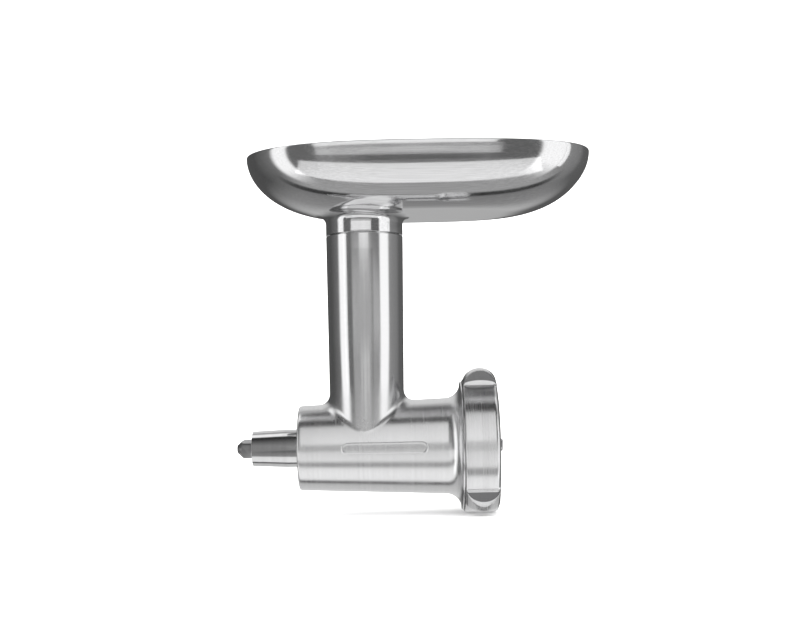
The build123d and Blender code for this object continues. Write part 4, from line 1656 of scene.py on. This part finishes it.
def build_studio(settings):
    """The light around the object: white for the floor, bright and dark bands for what the metal mirrors."""
    world = bpy.data.worlds.new("studio")
    bpy.context.scene.world = world
    world.use_nodes = True
    world.cycles.sampling_method = "NONE"
    world.node_tree.nodes.clear()
    net = Nodes(world.node_tree)

    def ramp(angle, stops):
        share_of_turn = net.sum_of("ADD", net.sum_of("DIVIDE", angle, TAU), 0.5)
        made = net.node("ShaderNodeValToRGB", {0: share_of_turn})
        elements = made.color_ramp.elements
        while len(elements) > 1:
            elements.remove(elements[-1])
        for number, (degrees, value) in enumerate(stops):
            position = degrees / 360 + 0.5
            stop = elements[0] if number == 0 else elements.new(position)
            stop.position = position
            level = value ** DISPLAY_GAMMA
            stop.color = (level, level, level, 1.0)
        return made.outputs[0]

    x, y, z = net.node(
        "ShaderNodeSeparateXYZ", {0: net.node("ShaderNodeTexCoord").outputs["Generated"]}
    ).outputs
    towards = net.sum_of("MULTIPLY", y, -1.0)
    azimuth = ramp(net.sum_of("ARCTAN2", x, towards), AZIMUTH_LIGHT)
    elevation = ramp(net.sum_of("ARCTAN2", z, towards), ELEVATION_LIGHT)
    upness = net.sum_of("ABSOLUTE", z)
    sideness = net.sum_of("ABSOLUTE", x)
    lean = net.sum_of("DIVIDE", upness, net.sum_of("ADD", net.sum_of("ADD", upness, sideness), 0.001))
    blend = net.node(
        "ShaderNodeMapRange", {"Value": lean, "From Min": LEAN_ACROSS, "From Max": LEAN_UP},
        interpolation_type="SMOOTHSTEP",
    ).outputs[0]
    mirrored = net.node("ShaderNodeMix", {0: blend, 6: azimuth, 7: elevation}, data_type="RGBA").outputs[2]
    path = net.node("ShaderNodeLightPath")
    shiny = net.node("ShaderNodeBackground", {0: mirrored, 1: settings.studio})
    plain = net.node("ShaderNodeBackground", {0: (1.0, 1.0, 1.0, 1.0), 1: settings.ambient})
    both = net.node(
        "ShaderNodeMixShader", {0: path.outputs["Is Glossy Ray"], 1: plain.outputs[0], 2: shiny.outputs[0]}
    )
    net.node("ShaderNodeOutputWorld", {0: both.outputs[0]})


def lying_strip(low, high, width):
    """Rows of points across the front, between two angles above the horizon."""
    rows = []
    for angle in steps(math.radians(low), math.radians(high), 6):
        y, z = -STUDIO_RADIUS * math.cos(angle), STUDIO_RADIUS * math.sin(angle)
        rows.append([(STUDIO_RADIUS * side, y, z) for side in width])
    return rows


def standing_strip(left, right, height):
    """Upright rows of points, between two angles round from the front."""
    rows = []
    for angle in steps(math.radians(left), math.radians(right), 6):
        x, y = STUDIO_RADIUS * math.sin(angle), -STUDIO_RADIUS * math.cos(angle)
        rows.append([(x, y, z) for z in height])
    return rows


def build_softbox(name, rows, brightness, pieces):
    """A strip of light through rows of points, that lights some pieces only."""
    skin = Skin()
    skin.strip([skin.ring(row) for row in rows], closed=False)
    box = skin.build("softbox_" + name, recalculate=False)
    glow = bpy.data.materials.new("glow_" + name)
    glow.use_nodes = True
    glow.node_tree.nodes.clear()
    net = Nodes(glow.node_tree)
    emission = net.node("ShaderNodeEmission", {"Strength": brightness})
    see_through = net.node("ShaderNodeBsdfTransparent")
    both = net.node("ShaderNodeAddShader", {0: emission.outputs[0], 1: see_through.outputs[0]})
    net.node("ShaderNodeOutputMaterial", {0: both.outputs[0]})
    glow.cycles.emission_sampling = "NONE"
    box.data.materials.append(glow)
    box.visible_camera = False
    box.visible_diffuse = False
    box.visible_shadow = False
    lit = bpy.data.collections.new("lit_by_" + name)
    for piece in pieces:
        lit.objects.link(bpy.data.objects[piece])
    box.light_linking.receiver_collection = lit


def build_camera(settings):
    """The camera, level with the grinder and a little below the tray."""
    camera = bpy.data.objects.new("camera", bpy.data.cameras.new("camera"))
    bpy.context.scene.collection.objects.link(camera)
    camera.data.lens = settings.lens
    camera.data.clip_end = 30.0
    camera.location = (settings.across, -settings.distance, settings.height)
    turn = Matrix.Rotation(math.radians(90) + settings.pitch, 3, "X") @ Matrix.Rotation(settings.roll, 3, "Z")
    camera.rotation_euler = turn.to_euler()
    bpy.context.scene.camera = camera


class GRINDER_PT_pieces(bpy.types.Panel):
    """Lists the pieces and the stage in the 3D view's sidebar."""

    bl_label = "Grinder"
    bl_idname = "GRINDER_PT_pieces"
    bl_space_type = "VIEW_3D"
    bl_region_type = "UI"
    bl_category = "Grinder"

    def draw(self, context):
        column = self.layout.column(align=True)
        for operator in OPERATORS:
            column.operator(operator.bl_idname)


OPERATORS = (
    GRINDER_OT_housing,
    GRINDER_OT_threads,
    GRINDER_OT_spigot,
    GRINDER_OT_shaft,
    GRINDER_OT_worm,
    GRINDER_OT_knife,
    GRINDER_OT_plate,
    GRINDER_OT_ring,
    GRINDER_OT_tray,
    GRINDER_OT_fittings,
    GRINDER_OT_stage,
)
GROUPS = {
    "grinder_housing": HousingSizes,
    "grinder_ring": RingSizes,
    "grinder_tray": TraySizes,
    "grinder_worm": WormSizes,
    "grinder_finishes": Finishes,
    "grinder_stage": StageSettings,
}


def register():
    """Makes the settings, the operators and the panel known to Blender."""
    for name, group in GROUPS.items():
        bpy.utils.register_class(group)
        setattr(bpy.types.Scene, name, PointerProperty(type=group))
    for operator in OPERATORS:
        bpy.utils.register_class(operator)
    bpy.utils.register_class(GRINDER_PT_pieces)


def unregister():
    """Takes them away again."""
    bpy.utils.unregister_class(GRINDER_PT_pieces)
    for operator in reversed(OPERATORS):
        bpy.utils.unregister_class(operator)
    for name, group in GROUPS.items():
        delattr(bpy.types.Scene, name)
        bpy.utils.unregister_class(group)


def main():
    """Builds everything."""
    register()
    bpy.ops.grinder.housing()
    bpy.ops.grinder.threads()
    bpy.ops.grinder.spigot()
    bpy.ops.grinder.shaft()
    bpy.ops.grinder.worm()
    bpy.ops.grinder.knife()
    bpy.ops.grinder.plate()
    bpy.ops.grinder.ring()
    bpy.ops.grinder.tray()
    bpy.ops.grinder.fittings()
    bpy.ops.grinder.stage()


if __name__ == "__main__":
    main()
